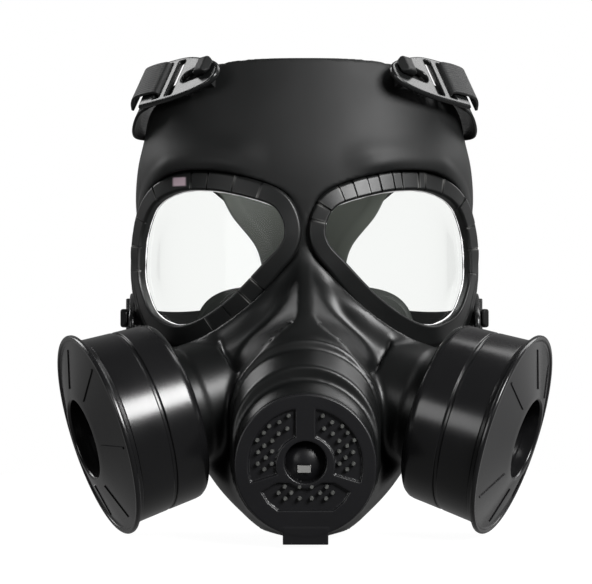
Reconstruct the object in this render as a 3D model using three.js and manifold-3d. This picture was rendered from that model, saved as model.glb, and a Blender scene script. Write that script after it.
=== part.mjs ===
// A gas mask style costume mask: a hollow moulded face piece with two eyepieces, a stepped muzzle with a voice cap,
// a filter drum on each cheek, an inner nose cup, and a head harness of four straps, four buckles and a back pad.
// Millimetres, +Z up. The mask looks along -Y. The origin is on the inner face of the nose bridge, between the eyes.
import * as THREE from "three";
import { mergeVertices } from "three/addons/utils/BufferGeometryUtils.js";
import Module from "manifold-3d";

const wasm = await Module();
wasm.setup();

// Driving dimensions

// Face piece
const foreheadHeight = 82.3; // nose bridge to the top edge
const chinDrop = 141; // nose bridge to the underside of the chin
const templeHalfWidth = 86; // half of the widest section, at the temples
const wrapDepth = 64; // from the front of the forehead to the widest point behind it
const profileDepth = 27; // how far the base of the muzzle lies in front of the nose bridge
const sideReach = 74; // how far the side walls run back past the nose bridge
const wall = 2.5; // moulded vinyl
const touchGap = 0.3; // between pieces that touch

// Eyepieces
const eyeWidth = 69.5; // clear opening of one eye, across
const eyeHeight = 65.5; // clear opening of one eye, up and down
const eyeInnerX = 9.3; // from the middle plane to the nearest point of the opening
const eyeCentreZ = -13.4; // middle of the opening's height, from the nose bridge
const eyeSlope = 0.17; // how fast the eyepiece falls back beside the nose
const eyeCurve = 0.0052; // how its slope grows outwards, per millimetre
const eyeLean = 0.03; // how far it leans back towards its top, per millimetre of height
const rimWidth = 9.4; // where the rim is widest but for its lower side
const rimHeight = 5.2;
const lensTuck = 1.4; // how far the lens runs under the rim
const lensThickness = 1.5;
const seatMargin = 2.4; // moulded band of the face piece round the rim
const seatDepth = 7;

// Muzzle and voice cap
const capRadius = 32.2;
const capThickness = 4.4;
const capCentreZ = -108.2;
const capFaceY = -58;
const boreRadius = 27.5; // through the muzzle
const capHoleRadius = 9.2;
const pocketDepth = 1.8;
const pocketInner = 12.6;
const pocketOuter = 25.2;
const spokeWidth = 8.6; // the upright bar between the two upper pockets
const tabWidth = 20.6;
const tabDrop = 3.4; // how far the cap's tab hangs below its disc
const grooveDepth = 1.8;

// Filter drums
const drumAxis = new THREE.Vector3(0.891, -0.358, -0.277).normalize();
const drumCentre = new THREE.Vector3(96.9, -18, -97); // middle of the right drum's flange
const drumDepth = 38.5; // flange to back face
const drumFrontRadius = 45;
const drumBackRadius = 43;
const drumWall = 2.4;
const seamDepth = 1.5;
const flangeRadius = 48.8;
const flangeHeight = 5.4;
const coneRise = 8;
const intakeRadius = 19;
const intakeDepth = 16;
const portRadius = 28; // boss on the cheek that carries the drum
const airwayRadius = 11;

// Inner nose cup
const cupHalfWidth = 55;
const cupTopZ = -27;
const cupBottomZ = -118;
const cupRimY = 30;
const cupLean = 0.13; // how far the cup's rim leans back towards its top, per millimetre of height
const cupWall = 2;
const cupNeckLength = 20;

// Harness
const strapWidth = 20;
const strapThickness = 1.5;
const buckleLength = 38;
const buckleThickness = 3;
const buckleNarrow = 17;
const buckleWide = 27.5;
const buckleBar = 4.2; // width of the cross bars
const hookLift = 6.2; // from the face piece's surface to the middle of the buckle
const padY = 165; // inner face of the back pad
const padThickness = 2.6;
const padTopWidth = 96;
const padWaistWidth = 44;
const padTopZ = 34;
const padBottomZ = -40;

// Shape tables. Lengths are shares of the sizes that they follow.

// Sections of the face piece from the chin up. level is a share of the chin drop below the bridge and of the forehead
// height above it, width of the temple half width, front of the profile depth, depth of the wrap depth; power is
// the squareness of the section.
const faceSections = [
  { level: -1.0, width: 0.26, front: 0.86, depth: 0.36, power: 2.2 },
  { level: -0.93, width: 0.41, front: 0.98, depth: 0.5, power: 2.1 },
  { level: -0.82, width: 0.565, front: 1.02, depth: 0.66, power: 2.0 },
  { level: -0.7, width: 0.68, front: 0.98, depth: 0.8, power: 2.0 },
  { level: -0.55, width: 0.79, front: 0.86, depth: 0.92, power: 2.0 },
  { level: -0.4, width: 0.895, front: 0.62, depth: 0.99, power: 1.95 },
  { level: -0.25, width: 0.955, front: 0.37, depth: 1.02, power: 1.9 },
  { level: 0.0, width: 0.985, front: 0.0926, depth: 1.0, power: 1.9 },
  { level: 0.2, width: 0.998, front: 0.13, depth: 0.98, power: 2.0 },
  { level: 0.4, width: 0.982, front: 0.12, depth: 0.97, power: 2.15 },
  { level: 0.6, width: 0.942, front: 0.02, depth: 0.96, power: 2.25 },
  { level: 0.8, width: 0.919, front: -0.1, depth: 0.94, power: 2.25 },
  { level: 1.08, width: 0.878, front: -0.3, depth: 0.92, power: 2.2 },
];

// The nose, from the bridge down to the muzzle. level is a share of the chin drop, rise and the half widths of its flat
// front and of its foot are shares of the cap radius.
const noseSections = [
  { level: -0.6, rise: 0.31, flat: 0.81, foot: 1.24 },
  { level: -0.46, rise: 0.435, flat: 0.745, foot: 1.24 },
  { level: -0.38, rise: 0.53, flat: 0.575, foot: 1.12 },
  { level: -0.335, rise: 0.485, flat: 0.36, foot: 0.94 },
  { level: -0.267, rise: 0.351, flat: 0.13, foot: 0.683 },
  { level: -0.19, rise: 0.196, flat: 0.1, foot: 0.5 },
  { level: -0.11, rise: 0.037, flat: 0.08, foot: 0.31 },
  { level: -0.06, rise: 0, flat: 0.05, foot: 0.2 },
];

// Side view of the face piece's edge. back is a share of the side reach, level as in the sections.
const topEdge = [
  { back: -0.3, level: 1.0 },
  { back: 0.07, level: 1.0 },
  { back: 0.22, level: 0.965 },
  { back: 0.51, level: 0.778 },
  { back: 0.7, level: 0.675 },
  { back: 0.89, level: 0.57 },
];
const rearEdge = [
  { back: 0.97, level: 0.4 },
  { back: 1.0, level: 0.0 },
  { back: 0.87, level: -0.29 },
  { back: 0.72, level: -0.5 },
  { back: 0.5, level: -0.74 },
  { back: 0.25, level: -0.93 },
  { back: 0.14, level: -1.05 },
];

// One eye opening, clockwise from its corner at the nose. across is a share of the eye's width from that corner,
// up a share of its height from the middle, rim the rim's width there as a share of the rim width.
const eyeOutline = [
  { across: 0.0, up: 0.19, rim: 0.84 },
  { across: 0.03, up: 0.31, rim: 0.86 },
  { across: 0.1, up: 0.385, rim: 0.9 },
  { across: 0.29, up: 0.45, rim: 0.98 },
  { across: 0.5, up: 0.495, rim: 1.0 },
  { across: 0.72, up: 0.492, rim: 0.98 },
  { across: 0.89, up: 0.4, rim: 0.9 },
  { across: 0.975, up: 0.2, rim: 0.84 },
  { across: 1.0, up: -0.04, rim: 0.8 },
  { across: 0.985, up: -0.22, rim: 0.82 },
  { across: 0.9, up: -0.42, rim: 1.0 },
  { across: 0.74, up: -0.5, rim: 1.14 },
  { across: 0.56, up: -0.445, rim: 1.12 },
  { across: 0.34, up: -0.27, rim: 1.06 },
  { across: 0.12, up: -0.02, rim: 0.94 },
  { across: 0.03, up: 0.085, rim: 0.86 },
];

// The muzzle from its root to the cap. out is a share of the way from the nose bridge to the cap's face, top is the
// height of its crown above the cap's middle and round its radius, both as shares of the cap radius.
const muzzleSteps = [
  { out: 0.1, top: 1.2, round: 1.04 },
  { out: 0.62, top: 1.62, round: 1.04 },
  { out: 0.66, top: 1.585, round: 1.03 },
  { out: 0.69, top: 1.5, round: 1.0 },
  { out: 0.71, top: 1.56, round: 1.03 },
  { out: 0.83, top: 1.32, round: 1.03 },
  { out: 0.855, top: 1.09, round: 0.985 },
  { out: 0.919, top: 1.0, round: 0.985 },
];

// Solids

const rowsPerFace = 16;
const columnsPerSide = 10;
const outlinePoints = 30;
const lathePoints = 24;

function levelToZ(level) {
  return level * (level < 0 ? chinDrop : foreheadHeight);
}

// A smooth function through a table's column, straight beyond its ends.
function smoothColumn(rows, knot, column) {
  const xs = rows.map(knot);
  const ys = rows.map((row) => row[column]);
  const slopes = xs.map((x, i) => {
    const a = Math.max(i - 1, 0);
    const b = Math.min(i + 1, xs.length - 1);
    return (ys[b] - ys[a]) / (xs[b] - xs[a]);
  });
  return (x) => {
    let i = 0;
    while (i < xs.length - 2 && x > xs[i + 1]) i++;
    const span = xs[i + 1] - xs[i];
    const t = THREE.MathUtils.clamp((x - xs[i]) / span, 0, 1);
    const t2 = t * t;
    const t3 = t2 * t;
    return (
      ys[i] * (2 * t3 - 3 * t2 + 1) +
      ys[i + 1] * (3 * t2 - 2 * t3) +
      span * (slopes[i] * (t3 - 2 * t2 + t) + slopes[i + 1] * (t3 - t2))
    );
  };
}

// A closed solid from points and triangles, turned to face outwards.
function closedSolid(points, faces) {
  let volume = 0;
  for (const [a, b, c] of faces)
    volume += points[a].dot(points[b].clone().cross(points[c]));
  const outward = volume < 0 ? faces.map(([a, b, c]) => [a, c, b]) : faces;
  return new wasm.Manifold(
    new wasm.Mesh({
      numProp: 3,
      vertProperties: new Float32Array(points.flatMap((p) => p.toArray())),
      triVerts: new Uint32Array(outward.flat()),
    }),
  );
}

// A solid skinned over rings of equally many points: round a closed path, or capped at both ends.
function skin(rings, closedPath = false) {
  const points = rings.flat();
  const around = rings[0].length;
  const faces = [];
  const steps = closedPath ? rings.length : rings.length - 1;
  for (let i = 0; i < steps; i++)
    for (let j = 0; j < around; j++) {
      const next = (i + 1) % rings.length;
      const a = i * around + j;
      const b = i * around + ((j + 1) % around);
      const c = next * around + ((j + 1) % around);
      const d = next * around + j;
      faces.push([a, b, c], [a, c, d]);
    }
  if (!closedPath)
    for (const end of [0, rings.length - 1]) {
      const hub = points.length;
      const middle = new THREE.Vector3();
      rings[end].forEach((p) => middle.addScaledVector(p, 1 / around));
      points.push(middle);
      for (let j = 0; j < around; j++) {
        const a = end * around + j;
        const b = end * around + ((j + 1) % around);
        faces.push(end ? [a, b, hub] : [b, a, hub]);
      }
    }
  return closedSolid(points, faces);
}

// A three.js geometry as a solid.
function solidOf(geometry) {
  const bare = geometry.clone();
  bare.deleteAttribute("normal");
  bare.deleteAttribute("uv");
  const merged = mergeVertices(bare, 1e-3);
  return new wasm.Manifold(
    new wasm.Mesh({
      numProp: 3,
      vertProperties: merged.attributes.position.array,
      triVerts: new Uint32Array(merged.index.array),
    }),
  );
}

function geometryOf(solid) {
  const mesh = solid.getMesh();
  const geometry = new THREE.BufferGeometry();
  geometry.setAttribute(
    "position",
    new THREE.BufferAttribute(new Float32Array(mesh.vertProperties), 3),
  );
  geometry.setIndex(new THREE.BufferAttribute(mesh.triVerts, 1));
  const flat = geometry.toNonIndexed();
  flat.computeVertexNormals();
  return flat;
}

// The same solid on the other side of the middle plane.
function mirrored(solid) {
  const mesh = solid.getMesh();
  const points = [];
  for (let i = 0; i < mesh.vertProperties.length; i += 3)
    points.push(
      new THREE.Vector3(
        -mesh.vertProperties[i],
        mesh.vertProperties[i + 1],
        mesh.vertProperties[i + 2],
      ),
    );
  const faces = [];
  for (let i = 0; i < mesh.triVerts.length; i += 3)
    faces.push([...mesh.triVerts.slice(i, i + 3)]);
  return closedSolid(points, faces);
}

// Face piece

const sectionZ = (row) => levelToZ(row.level);
const widthShare = smoothColumn(faceSections, sectionZ, "width");
const frontShare = smoothColumn(faceSections, sectionZ, "front");
const depthShare = smoothColumn(faceSections, sectionZ, "depth");
const powerAt = smoothColumn(faceSections, sectionZ, "power");
const noseRise = smoothColumn(noseSections.slice().reverse(), (row) => -sectionZ(row), "rise");
const noseFlat = smoothColumn(noseSections.slice().reverse(), (row) => -sectionZ(row), "flat");
const noseFoot = smoothColumn(noseSections.slice().reverse(), (row) => -sectionZ(row), "foot");

// How far the nose stands out of the face at a place.
function noseBump(x, z) {
  const flat = noseFlat(-z) * capRadius;
  const foot = noseFoot(-z) * capRadius;
  const fall = THREE.MathUtils.smoothstep(Math.abs(x), flat, foot);
  return noseRise(-z) * capRadius * (1 - fall);
}

// One section's half, from the middle of the front to the side, moved inwards by inset.
function facePoint(turn, z, inset) {
  const halfWidth = widthShare(z) * templeHalfWidth - inset;
  const depth = depthShare(z) * wrapDepth - inset;
  const front = -frontShare(z) * profileDepth + inset;
  const power = 2 / powerAt(z);
  const x = halfWidth * Math.pow(Math.sin(turn), power);
  const y = front + depth * (1 - Math.pow(Math.cos(turn), power));
  return new THREE.Vector3(x, y - noseBump(x, z), z);
}

// The face piece's surface as a function of place, for what is mounted on it.
function faceAt(x, z) {
  const halfWidth = widthShare(z) * templeHalfWidth;
  const share = Math.min(Math.abs(x) / halfWidth, 1);
  const turn = Math.asin(Math.pow(share, powerAt(z) / 2));
  return facePoint(turn, z, 0);
}

function faceLump(inset, bottom, top, back) {
  const rings = [];
  for (let row = 0; row < rowsPerFace; row++) {
    const z = THREE.MathUtils.lerp(bottom, top, row / (rowsPerFace - 1));
    const half = [];
    for (let k = 0; k <= columnsPerSide; k++) {
      const turn = (Math.PI / 2) * Math.pow(k / columnsPerSide, 1.25);
      half.push(facePoint(Math.min(turn, Math.PI / 2), z, inset));
    }
    const side = half[columnsPerSide];
    half.push(new THREE.Vector3(side.x, Math.max(back, side.y + 1), z));
    const other = half
      .slice(1)
      .reverse()
      .map((p) => new THREE.Vector3(-p.x, p.y, p.z));
    rings.push([...other, ...half]);
  }
  return skin(rings);
}

// The prism whose side view is the edge of the face piece.
function edgePrism() {
  const outline = [...topEdge, ...rearEdge].map(
    ({ back, level }) => new THREE.Vector2(back * sideReach, levelToZ(level)),
  );
  const curve = new THREE.SplineCurve(outline);
  const points = curve.getPoints(20);
  const front = 2 * capFaceY;
  const shape = new THREE.Shape([
    new THREE.Vector2(front, outline[0].y),
    ...points,
    new THREE.Vector2(front, outline[outline.length - 1].y),
  ]);
  const reach = 1.5 * templeHalfWidth;
  const prism = new THREE.ExtrudeGeometry(shape, {
    depth: 2 * reach,
    bevelEnabled: false,
  });
  prism.translate(0, 0, -reach);
  // Shape x is the model's y, shape y its z, and the extrusion runs along its x.
  prism.applyMatrix4(
    new THREE.Matrix4().set(0, 0, 1, 0, 1, 0, 0, 0, 0, 1, 0, 0, 0, 0, 0, 1),
  );
  return solidOf(prism);
}

// Eyepieces, on the right of the middle plane

function eyeSurfaceY(x, z) {
  const out = x - eyeInnerX;
  return -wall + eyeSlope * out + eyeCurve * out * out + eyeLean * (z - eyeCentreZ);
}

function eyeNormal(x) {
  const slope = eyeSlope + 2 * eyeCurve * (x - eyeInnerX);
  return new THREE.Vector3(slope, -1, eyeLean).normalize();
}

// The opening seen from the front; the middle coordinate holds the rim's share.
const eyeCurveLine = new THREE.CatmullRomCurve3(
  eyeOutline.map(
    ({ across, up, rim }) =>
      new THREE.Vector3(eyeInnerX + across * eyeWidth, rim, eyeCentreZ + up * eyeHeight),
  ),
  true,
  "centripetal",
);

// Frames round the opening: a point on the eyepiece's surface, the way out of the opening, the surface's normal and
// the rim's width.
const eyeFrames = eyeCurveLine
  .getSpacedPoints(outlinePoints)
  .slice(0, outlinePoints)
  .map((flat, i) => {
    const tangent = eyeCurveLine.getTangentAt(i / outlinePoints);
    const normal = eyeNormal(flat.x);
    const out = new THREE.Vector3(-tangent.z, 0, tangent.x);
    const point = new THREE.Vector3(flat.x, eyeSurfaceY(flat.x, flat.z), flat.z);
    out.addScaledVector(normal, -out.dot(normal)).normalize();
    return { point, out, normal, rim: flat.y * rimWidth };
  });

// A ring of points round the eye: rims times the rim's width and out more beyond the opening, up above the surface.
function eyeRing(rims, out, up) {
  return eyeFrames.map((frame) =>
    frame.point
      .clone()
      .addScaledVector(frame.out, rims * frame.rim + out)
      .addScaledVector(frame.normal, up),
  );
}

// A ring swept round the eye, its section given as rows of (rims, out, up).
function eyeBand(section) {
  const sides = section.map(([rims, out, up]) => eyeRing(rims, out, up));
  return skin(
    eyeFrames.map((frame, i) => sides.map((side) => side[i])),
    true,
  );
}

const seatOpening = lensTuck + touchGap;
const rimFoot = touchGap; // the rim's underside, above the eyepiece's surface
const ledge = -lensThickness - touchGap; // front of the ledge behind the lens

// The face piece is solid round the eye, between these two faces, before the stepped opening is cut.
function eyeSeat() {
  return skin([
    eyeRing(0, 0, -seatDepth),
    eyeRing(1, seatMargin, -seatDepth),
    eyeRing(1, seatMargin, 0),
    eyeRing(0, seatOpening, 0),
  ]);
}

// The same block drawn out forwards, to where the brow stands in front of the seat.
function eyeBlock() {
  return skin([
    eyeRing(0, 0, -seatDepth),
    eyeRing(1, seatMargin, -seatDepth),
    eyeRing(1, seatMargin, 3 * seatDepth),
  ]);
}

// The stepped opening: the rim's pocket, the lens's seat and the clear hole behind it.
function eyeOpening() {
  return skin([
    eyeRing(1, touchGap, 3 * seatDepth),
    eyeRing(1, touchGap, 0),
    eyeRing(0, seatOpening, 0),
    eyeRing(0, seatOpening, ledge),
    eyeRing(0, 0, ledge),
    eyeRing(0, 0, -2.5 * seatDepth),
  ]);
}

function eyeRim() {
  const edge = 1.6;
  return eyeBand([
    [0, 0, rimFoot],
    [1, 0, rimFoot],
    [1, 0, rimHeight - edge],
    [1, -edge, rimHeight],
    [0, edge, rimHeight],
    [0, 0, rimHeight - edge],
  ]);
}

function lens() {
  const middle = new THREE.Vector2(eyeInnerX + 0.56 * eyeWidth, eyeCentreZ);
  const rings = [];
  const faces = [
    { up: 0, sizes: [0.5, 1] },
    { up: -lensThickness, sizes: [1, 0.5] },
  ];
  for (const { up, sizes } of faces)
    for (const size of sizes)
      rings.push(
        eyeRing(0, lensTuck, 0).map((edge) => {
          const x = THREE.MathUtils.lerp(middle.x, edge.x, size);
          const z = THREE.MathUtils.lerp(middle.y, edge.z, size);
          const point = new THREE.Vector3(x, eyeSurfaceY(x, z), z);
          return point.addScaledVector(eyeNormal(x), up);
        }),
      );
  return skin(rings);
}

// Muzzle and voice cap

// An upright stadium: half rounds at the top and at the cap's height, joined by straight sides.
function muzzleRing({ out, top, round }) {
  const half = 12;
  const radius = round * capRadius;
  const upper = Math.max(top * capRadius - radius, 0);
  const points = [];
  for (let k = 0; k < 2 * half; k++) {
    const turn = ((k + 0.5) / half) * Math.PI;
    const lift = Math.sin(turn) > 0 ? upper : 0;
    points.push(
      new THREE.Vector3(
        radius * Math.cos(turn),
        out * capFaceY,
        capCentreZ + lift + radius * Math.sin(turn),
      ),
    );
  }
  return points;
}

function muzzle() {
  return skin(muzzleSteps.map(muzzleRing));
}

// A round bar along -Y at the cap's height.
function rodAlongY(radius, fromY, toY) {
  const rod = new THREE.CylinderGeometry(radius, radius, toY - fromY, 32);
  rod.translate(0, (fromY + toY) / 2, 0);
  rod.translate(0, 0, capCentreZ);
  return solidOf(rod);
}

// A recess of the cap between two radii and two angles, seen from the front.
function pocket(from, to) {
  const shape = new THREE.Shape();
  shape.absarc(0, 0, pocketOuter, from, to, false);
  shape.absarc(0, 0, pocketInner, to, from, true);
  const block = new THREE.ExtrudeGeometry(shape, {
    depth: 2 * pocketDepth,
    bevelEnabled: false,
    curveSegments: 7,
  });
  block.translate(0, 0, -pocketDepth);
  block.rotateX(Math.PI / 2);
  block.translate(0, capFaceY, capCentreZ);
  return solidOf(block);
}

function voiceCap() {
  const degrees = THREE.MathUtils.degToRad;
  let cap = rodAlongY(capRadius, capFaceY, capFaceY + capThickness);
  const tab = new THREE.BoxGeometry(tabWidth, capThickness, 3 * tabDrop);
  tab.translate(0, capFaceY + capThickness / 2, capCentreZ - capRadius + tabDrop / 2);
  cap = cap.add(solidOf(tab));
  for (const [from, to] of [
    [-21, 81],
    [99, 201],
    [218, 322],
  ])
    cap = cap.subtract(pocket(degrees(from), degrees(to)));
  const spoke = new THREE.BoxGeometry(spokeWidth, capThickness, pocketOuter);
  spoke.translate(0, capFaceY + capThickness / 2, capCentreZ + pocketOuter / 2);
  cap = cap.add(solidOf(spoke));
  return cap.subtract(
    rodAlongY(capHoleRadius, capFaceY - 1, capFaceY + capThickness + 1),
  );
}

// Filter drums, turned about their axis. Profiles are pairs of (radius, height above the flange plane).

function turned(profile) {
  return solidOf(
    new THREE.LatheGeometry(
      profile.map(([radius, height]) => new THREE.Vector2(radius, height)),
      lathePoints,
    ),
  );
}

function drumBody() {
  const seam = -0.52 * drumDepth;
  const seamHalf = 1.2;
  const seamRadius = (drumFrontRadius + drumBackRadius) / 2;
  const corner = 4;
  return turned([
    [airwayRadius, -drumDepth],
    [drumBackRadius - corner, -drumDepth],
    [drumBackRadius - 0.3 * corner, -drumDepth + 0.35 * corner],
    [drumBackRadius, -drumDepth + corner],
    [seamRadius, seam - seamHalf],
    [seamRadius - seamDepth, seam - seamHalf],
    [seamRadius - seamDepth, seam + seamHalf],
    [seamRadius, seam + seamHalf],
    [drumFrontRadius, 0],
    [drumFrontRadius - drumWall, 0],
    [drumBackRadius - drumWall, -drumDepth + corner],
    [drumBackRadius - corner, -drumDepth + drumWall],
    [airwayRadius, -drumDepth + drumWall],
    [airwayRadius, -drumDepth],
  ]);
}

function drumCover() {
  const top = coneRise;
  const skirt = drumFrontRadius + touchGap;
  const lip = 2.4;
  const floor = coneRise - intakeDepth;
  const plate = 2;
  return turned([
    [0, floor - plate],
    [intakeRadius + plate, floor - plate],
    [intakeRadius + plate, top - 2.6],
    [drumFrontRadius - 4, touchGap],
    [skirt, touchGap],
    [skirt, lip - flangeHeight],
    [flangeRadius, lip - flangeHeight],
    [flangeRadius, lip - 0.9],
    [flangeRadius - 0.8, lip],
    [skirt + 0.4, lip],
    [skirt + 0.2, 1],
    [intakeRadius + 3, top - 0.5],
    [intakeRadius + 0.8, top],
    [intakeRadius, top - 0.6],
    [intakeRadius, floor],
    [0, floor],
  ]);
}

// The face piece's boss behind the drum and the airway through it, in the drum's own frame.
function drumFrame(side) {
  const group = new THREE.Group();
  group.position.set(side * drumCentre.x, drumCentre.y, drumCentre.z);
  const axis = new THREE.Vector3(side * drumAxis.x, drumAxis.y, drumAxis.z);
  group.quaternion.setFromUnitVectors(new THREE.Vector3(0, 1, 0), axis);
  return group;
}

function rodInDrumFrame(side, radius, from, to) {
  const rod = new THREE.CylinderGeometry(radius, radius, to - from, 28);
  rod.translate(0, (from + to) / 2, 0);
  const frame = drumFrame(side);
  frame.updateMatrix();
  rod.applyMatrix4(frame.matrix);
  return solidOf(rod);
}

// Inner nose cup: a neck in the muzzle's bore that flares to a rounded rim behind it.

function cupRing(y, radius, halfWidth, topZ, bottomZ, share) {
  const around = 24;
  const points = [];
  for (let k = 0; k < around; k++) {
    const turn = ((k + 0.5) / around) * 2 * Math.PI;
    const c = Math.cos(turn);
    const s = Math.sin(turn);
    const squarer = 2 / (s > 0 ? 4.5 : 2.6); // squarer across the nose than under the chin
    const wide = new THREE.Vector2(
      halfWidth * Math.sign(c) * Math.pow(Math.abs(c), squarer),
      (topZ + bottomZ) / 2 + ((topZ - bottomZ) / 2) * Math.sign(s) * Math.pow(Math.abs(s), squarer),
    );
    const round = new THREE.Vector2(radius * c, capCentreZ + radius * s);
    round.lerp(wide, share);
    const lean = cupLean * (round.y - (cupTopZ + cupBottomZ) / 2);
    points.push(new THREE.Vector3(round.x, y + share * lean, round.y));
  }
  return points;
}

function cupLump(inset) {
  const neck = boreRadius - touchGap - inset;
  const neckY = capFaceY + capThickness + 8;
  const flareY = neckY + cupNeckLength;
  const flare = cupRimY - flareY;
  const steps = [
    { y: neckY, share: 0 },
    { y: flareY, share: 0 },
    { y: flareY + 0.4 * flare, share: 0.24 },
    { y: flareY + 0.7 * flare, share: 0.56 },
    { y: flareY + 0.88 * flare, share: 0.88 },
    { y: cupRimY, share: 1 },
  ];
  const past = inset ? 1 : 0; // the hollow runs past both ends
  const rings = steps.map(({ y, share }, i) =>
    cupRing(
      y + (i === 0 ? -past : 0) + (i === steps.length - 1 ? past : 0),
      neck,
      cupHalfWidth - inset,
      cupTopZ - inset,
      cupBottomZ + inset,
      share,
    ),
  );
  return skin(rings);
}

function innerCup() {
  return cupLump(0).subtract(cupLump(cupWall));
}

// Harness, on the right of the middle plane

// A buckle's own frame: u runs from its hook to the strap, v across it, n out of it. seat is the point of the face
// piece that its hook grows from.
function buckleFrame(seat, u, v) {
  const along = u.clone().normalize();
  const out = along.clone().cross(v).normalize();
  const across = out.clone().cross(along).normalize();
  const origin = seat.clone().addScaledVector(out, hookLift);
  return new THREE.Matrix4()
    .makeBasis(along, across, out)
    .setPosition(origin);
}

const upperSeat = faceAt(0.52 * templeHalfWidth, 0.9 * foreheadHeight);
const upperFrame = buckleFrame(
  upperSeat,
  new THREE.Vector3(0.753, 0.645, -0.129),
  new THREE.Vector3(-0.3, 0.51, 0.8),
);
const lowerSeatZ = -0.3 * chinDrop;
const lowerSeat = new THREE.Vector3(
  widthShare(lowerSeatZ) * templeHalfWidth,
  0.66 * sideReach,
  lowerSeatZ,
);
const lowerFrame = buckleFrame(
  lowerSeat,
  new THREE.Vector3(0.06, 1, -0.04),
  new THREE.Vector3(0, 0.04, 1),
);

const eyeletStart = 4; // the buckle's eyelet for the hook
const eyeletLength = 8.5;
const eyeletWidth = 9.5;
const slotLength = strapWidth + 1.4;
const slotWidth = 3.6;
const outerSlotWidth = 4.4;

const firstSlot = eyeletStart + eyeletLength + buckleBar;
const secondSlot = firstSlot + slotWidth + buckleBar;
const outerBar = secondSlot + outerSlotWidth;

function buckle(frame) {
  const narrow = buckleNarrow / 2;
  const wide = buckleWide / 2;
  const cut = 3;
  const shape = new THREE.Shape([
    new THREE.Vector2(0, -narrow + cut),
    new THREE.Vector2(cut, -narrow),
    new THREE.Vector2(secondSlot - buckleBar / 2, -wide),
    new THREE.Vector2(buckleLength, -wide),
    new THREE.Vector2(buckleLength, wide),
    new THREE.Vector2(secondSlot - buckleBar / 2, wide),
    new THREE.Vector2(cut, narrow),
    new THREE.Vector2(0, narrow - cut),
  ]);
  const plate = new THREE.ExtrudeGeometry(shape, {
    depth: buckleThickness,
    bevelEnabled: false,
  });
  plate.translate(0, 0, -buckleThickness / 2);
  plate.applyMatrix4(frame);
  let solid = solidOf(plate);
  for (const [start, length, across] of [
    [eyeletStart, eyeletLength, eyeletWidth],
    [firstSlot, slotWidth, slotLength],
    [secondSlot, outerSlotWidth, slotLength],
  ])
    solid = solid.subtract(
      boxIn(
        frame,
        [start, start + length],
        [-across / 2, across / 2],
        [-buckleThickness, buckleThickness],
      ),
    );
  return solid;
}

function boxIn(frame, [u0, u1], [v0, v1], [n0, n1]) {
  const box = new THREE.BoxGeometry(u1 - u0, v1 - v0, n1 - n0);
  box.translate((u0 + u1) / 2, (v0 + v1) / 2, (n0 + n1) / 2);
  box.applyMatrix4(frame);
  return solidOf(box);
}

// The hook that is moulded on the face piece: a post through the buckle's eyelet with a head over its end bar.
function hook(frame) {
  const top = buckleThickness / 2 + touchGap + 0.1;
  const post = [eyeletStart + touchGap, eyeletStart + 0.55 * eyeletLength];
  const halfV = eyeletWidth / 2 - 0.6;
  return boxIn(frame, post, [-halfV, halfV], [-hookLift - wall + 0.5, top + 1]).add(
    boxIn(frame, [0.6, post[1]], [-halfV, halfV], [top, top + 2.8]),
  );
}

// A strap: rectangles along a line of stations, each a middle point and the way the strap's width lies there.
function ribbon(stations) {
  const middles = new THREE.CatmullRomCurve3(stations.map((s) => s.at), false, "centripetal");
  const widths = new THREE.CatmullRomCurve3(stations.map((s) => s.across), false, "centripetal");
  const steps = (stations.length - 1) * 2;
  const rings = [];
  for (let i = 0; i <= steps; i++) {
    const t = i / steps;
    const middle = middles.getPoint(t);
    const along = middles.getTangent(t);
    const across = widths.getPoint(t);
    across.addScaledVector(along, -across.dot(along)).normalize();
    const out = along.clone().cross(across).normalize();
    rings.push(
      [
        [-1, -1],
        [1, -1],
        [1, 1],
        [-1, 1],
      ].map(([w, h]) =>
        middle
          .clone()
          .addScaledVector(across, (w * strapWidth) / 2)
          .addScaledVector(out, (h * strapThickness) / 2),
      ),
    );
  }
  return skin(rings);
}

// The strap's way through a buckle: its tail on the bars, down through the outer slot and back under the outer bar.
function strapInBuckle(frame) {
  const clear = buckleThickness / 2 + strapThickness / 2 + touchGap;
  const slot = secondSlot + outerSlotWidth / 2;
  const across = new THREE.Vector3().setFromMatrixColumn(frame, 1);
  return [
    [outerBar + 15.6, clear + 0.2],
    [outerBar + 2, clear + 0.5],
    [slot + 0.6, clear - 0.2],
    [slot, 0],
    [slot + 0.6, -clear + 0.2],
    [outerBar + 2, -clear - 0.5],
    [outerBar + 15.1, -clear - 2.4],
  ].map(([u, n]) => ({
    at: new THREE.Vector3(u, 0, n).applyMatrix4(frame),
    across: across.clone(),
  }));
}

const strapBackY = padY + padThickness + 2 * touchGap + strapThickness / 2;

function strap(frame, route) {
  return ribbon([
    ...strapInBuckle(frame),
    ...route.map(([x, y, z, lean]) => ({
      at: new THREE.Vector3(x, y, z),
      across: new THREE.Vector3(lean, 0, 1).normalize(),
    })),
  ]);
}

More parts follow.
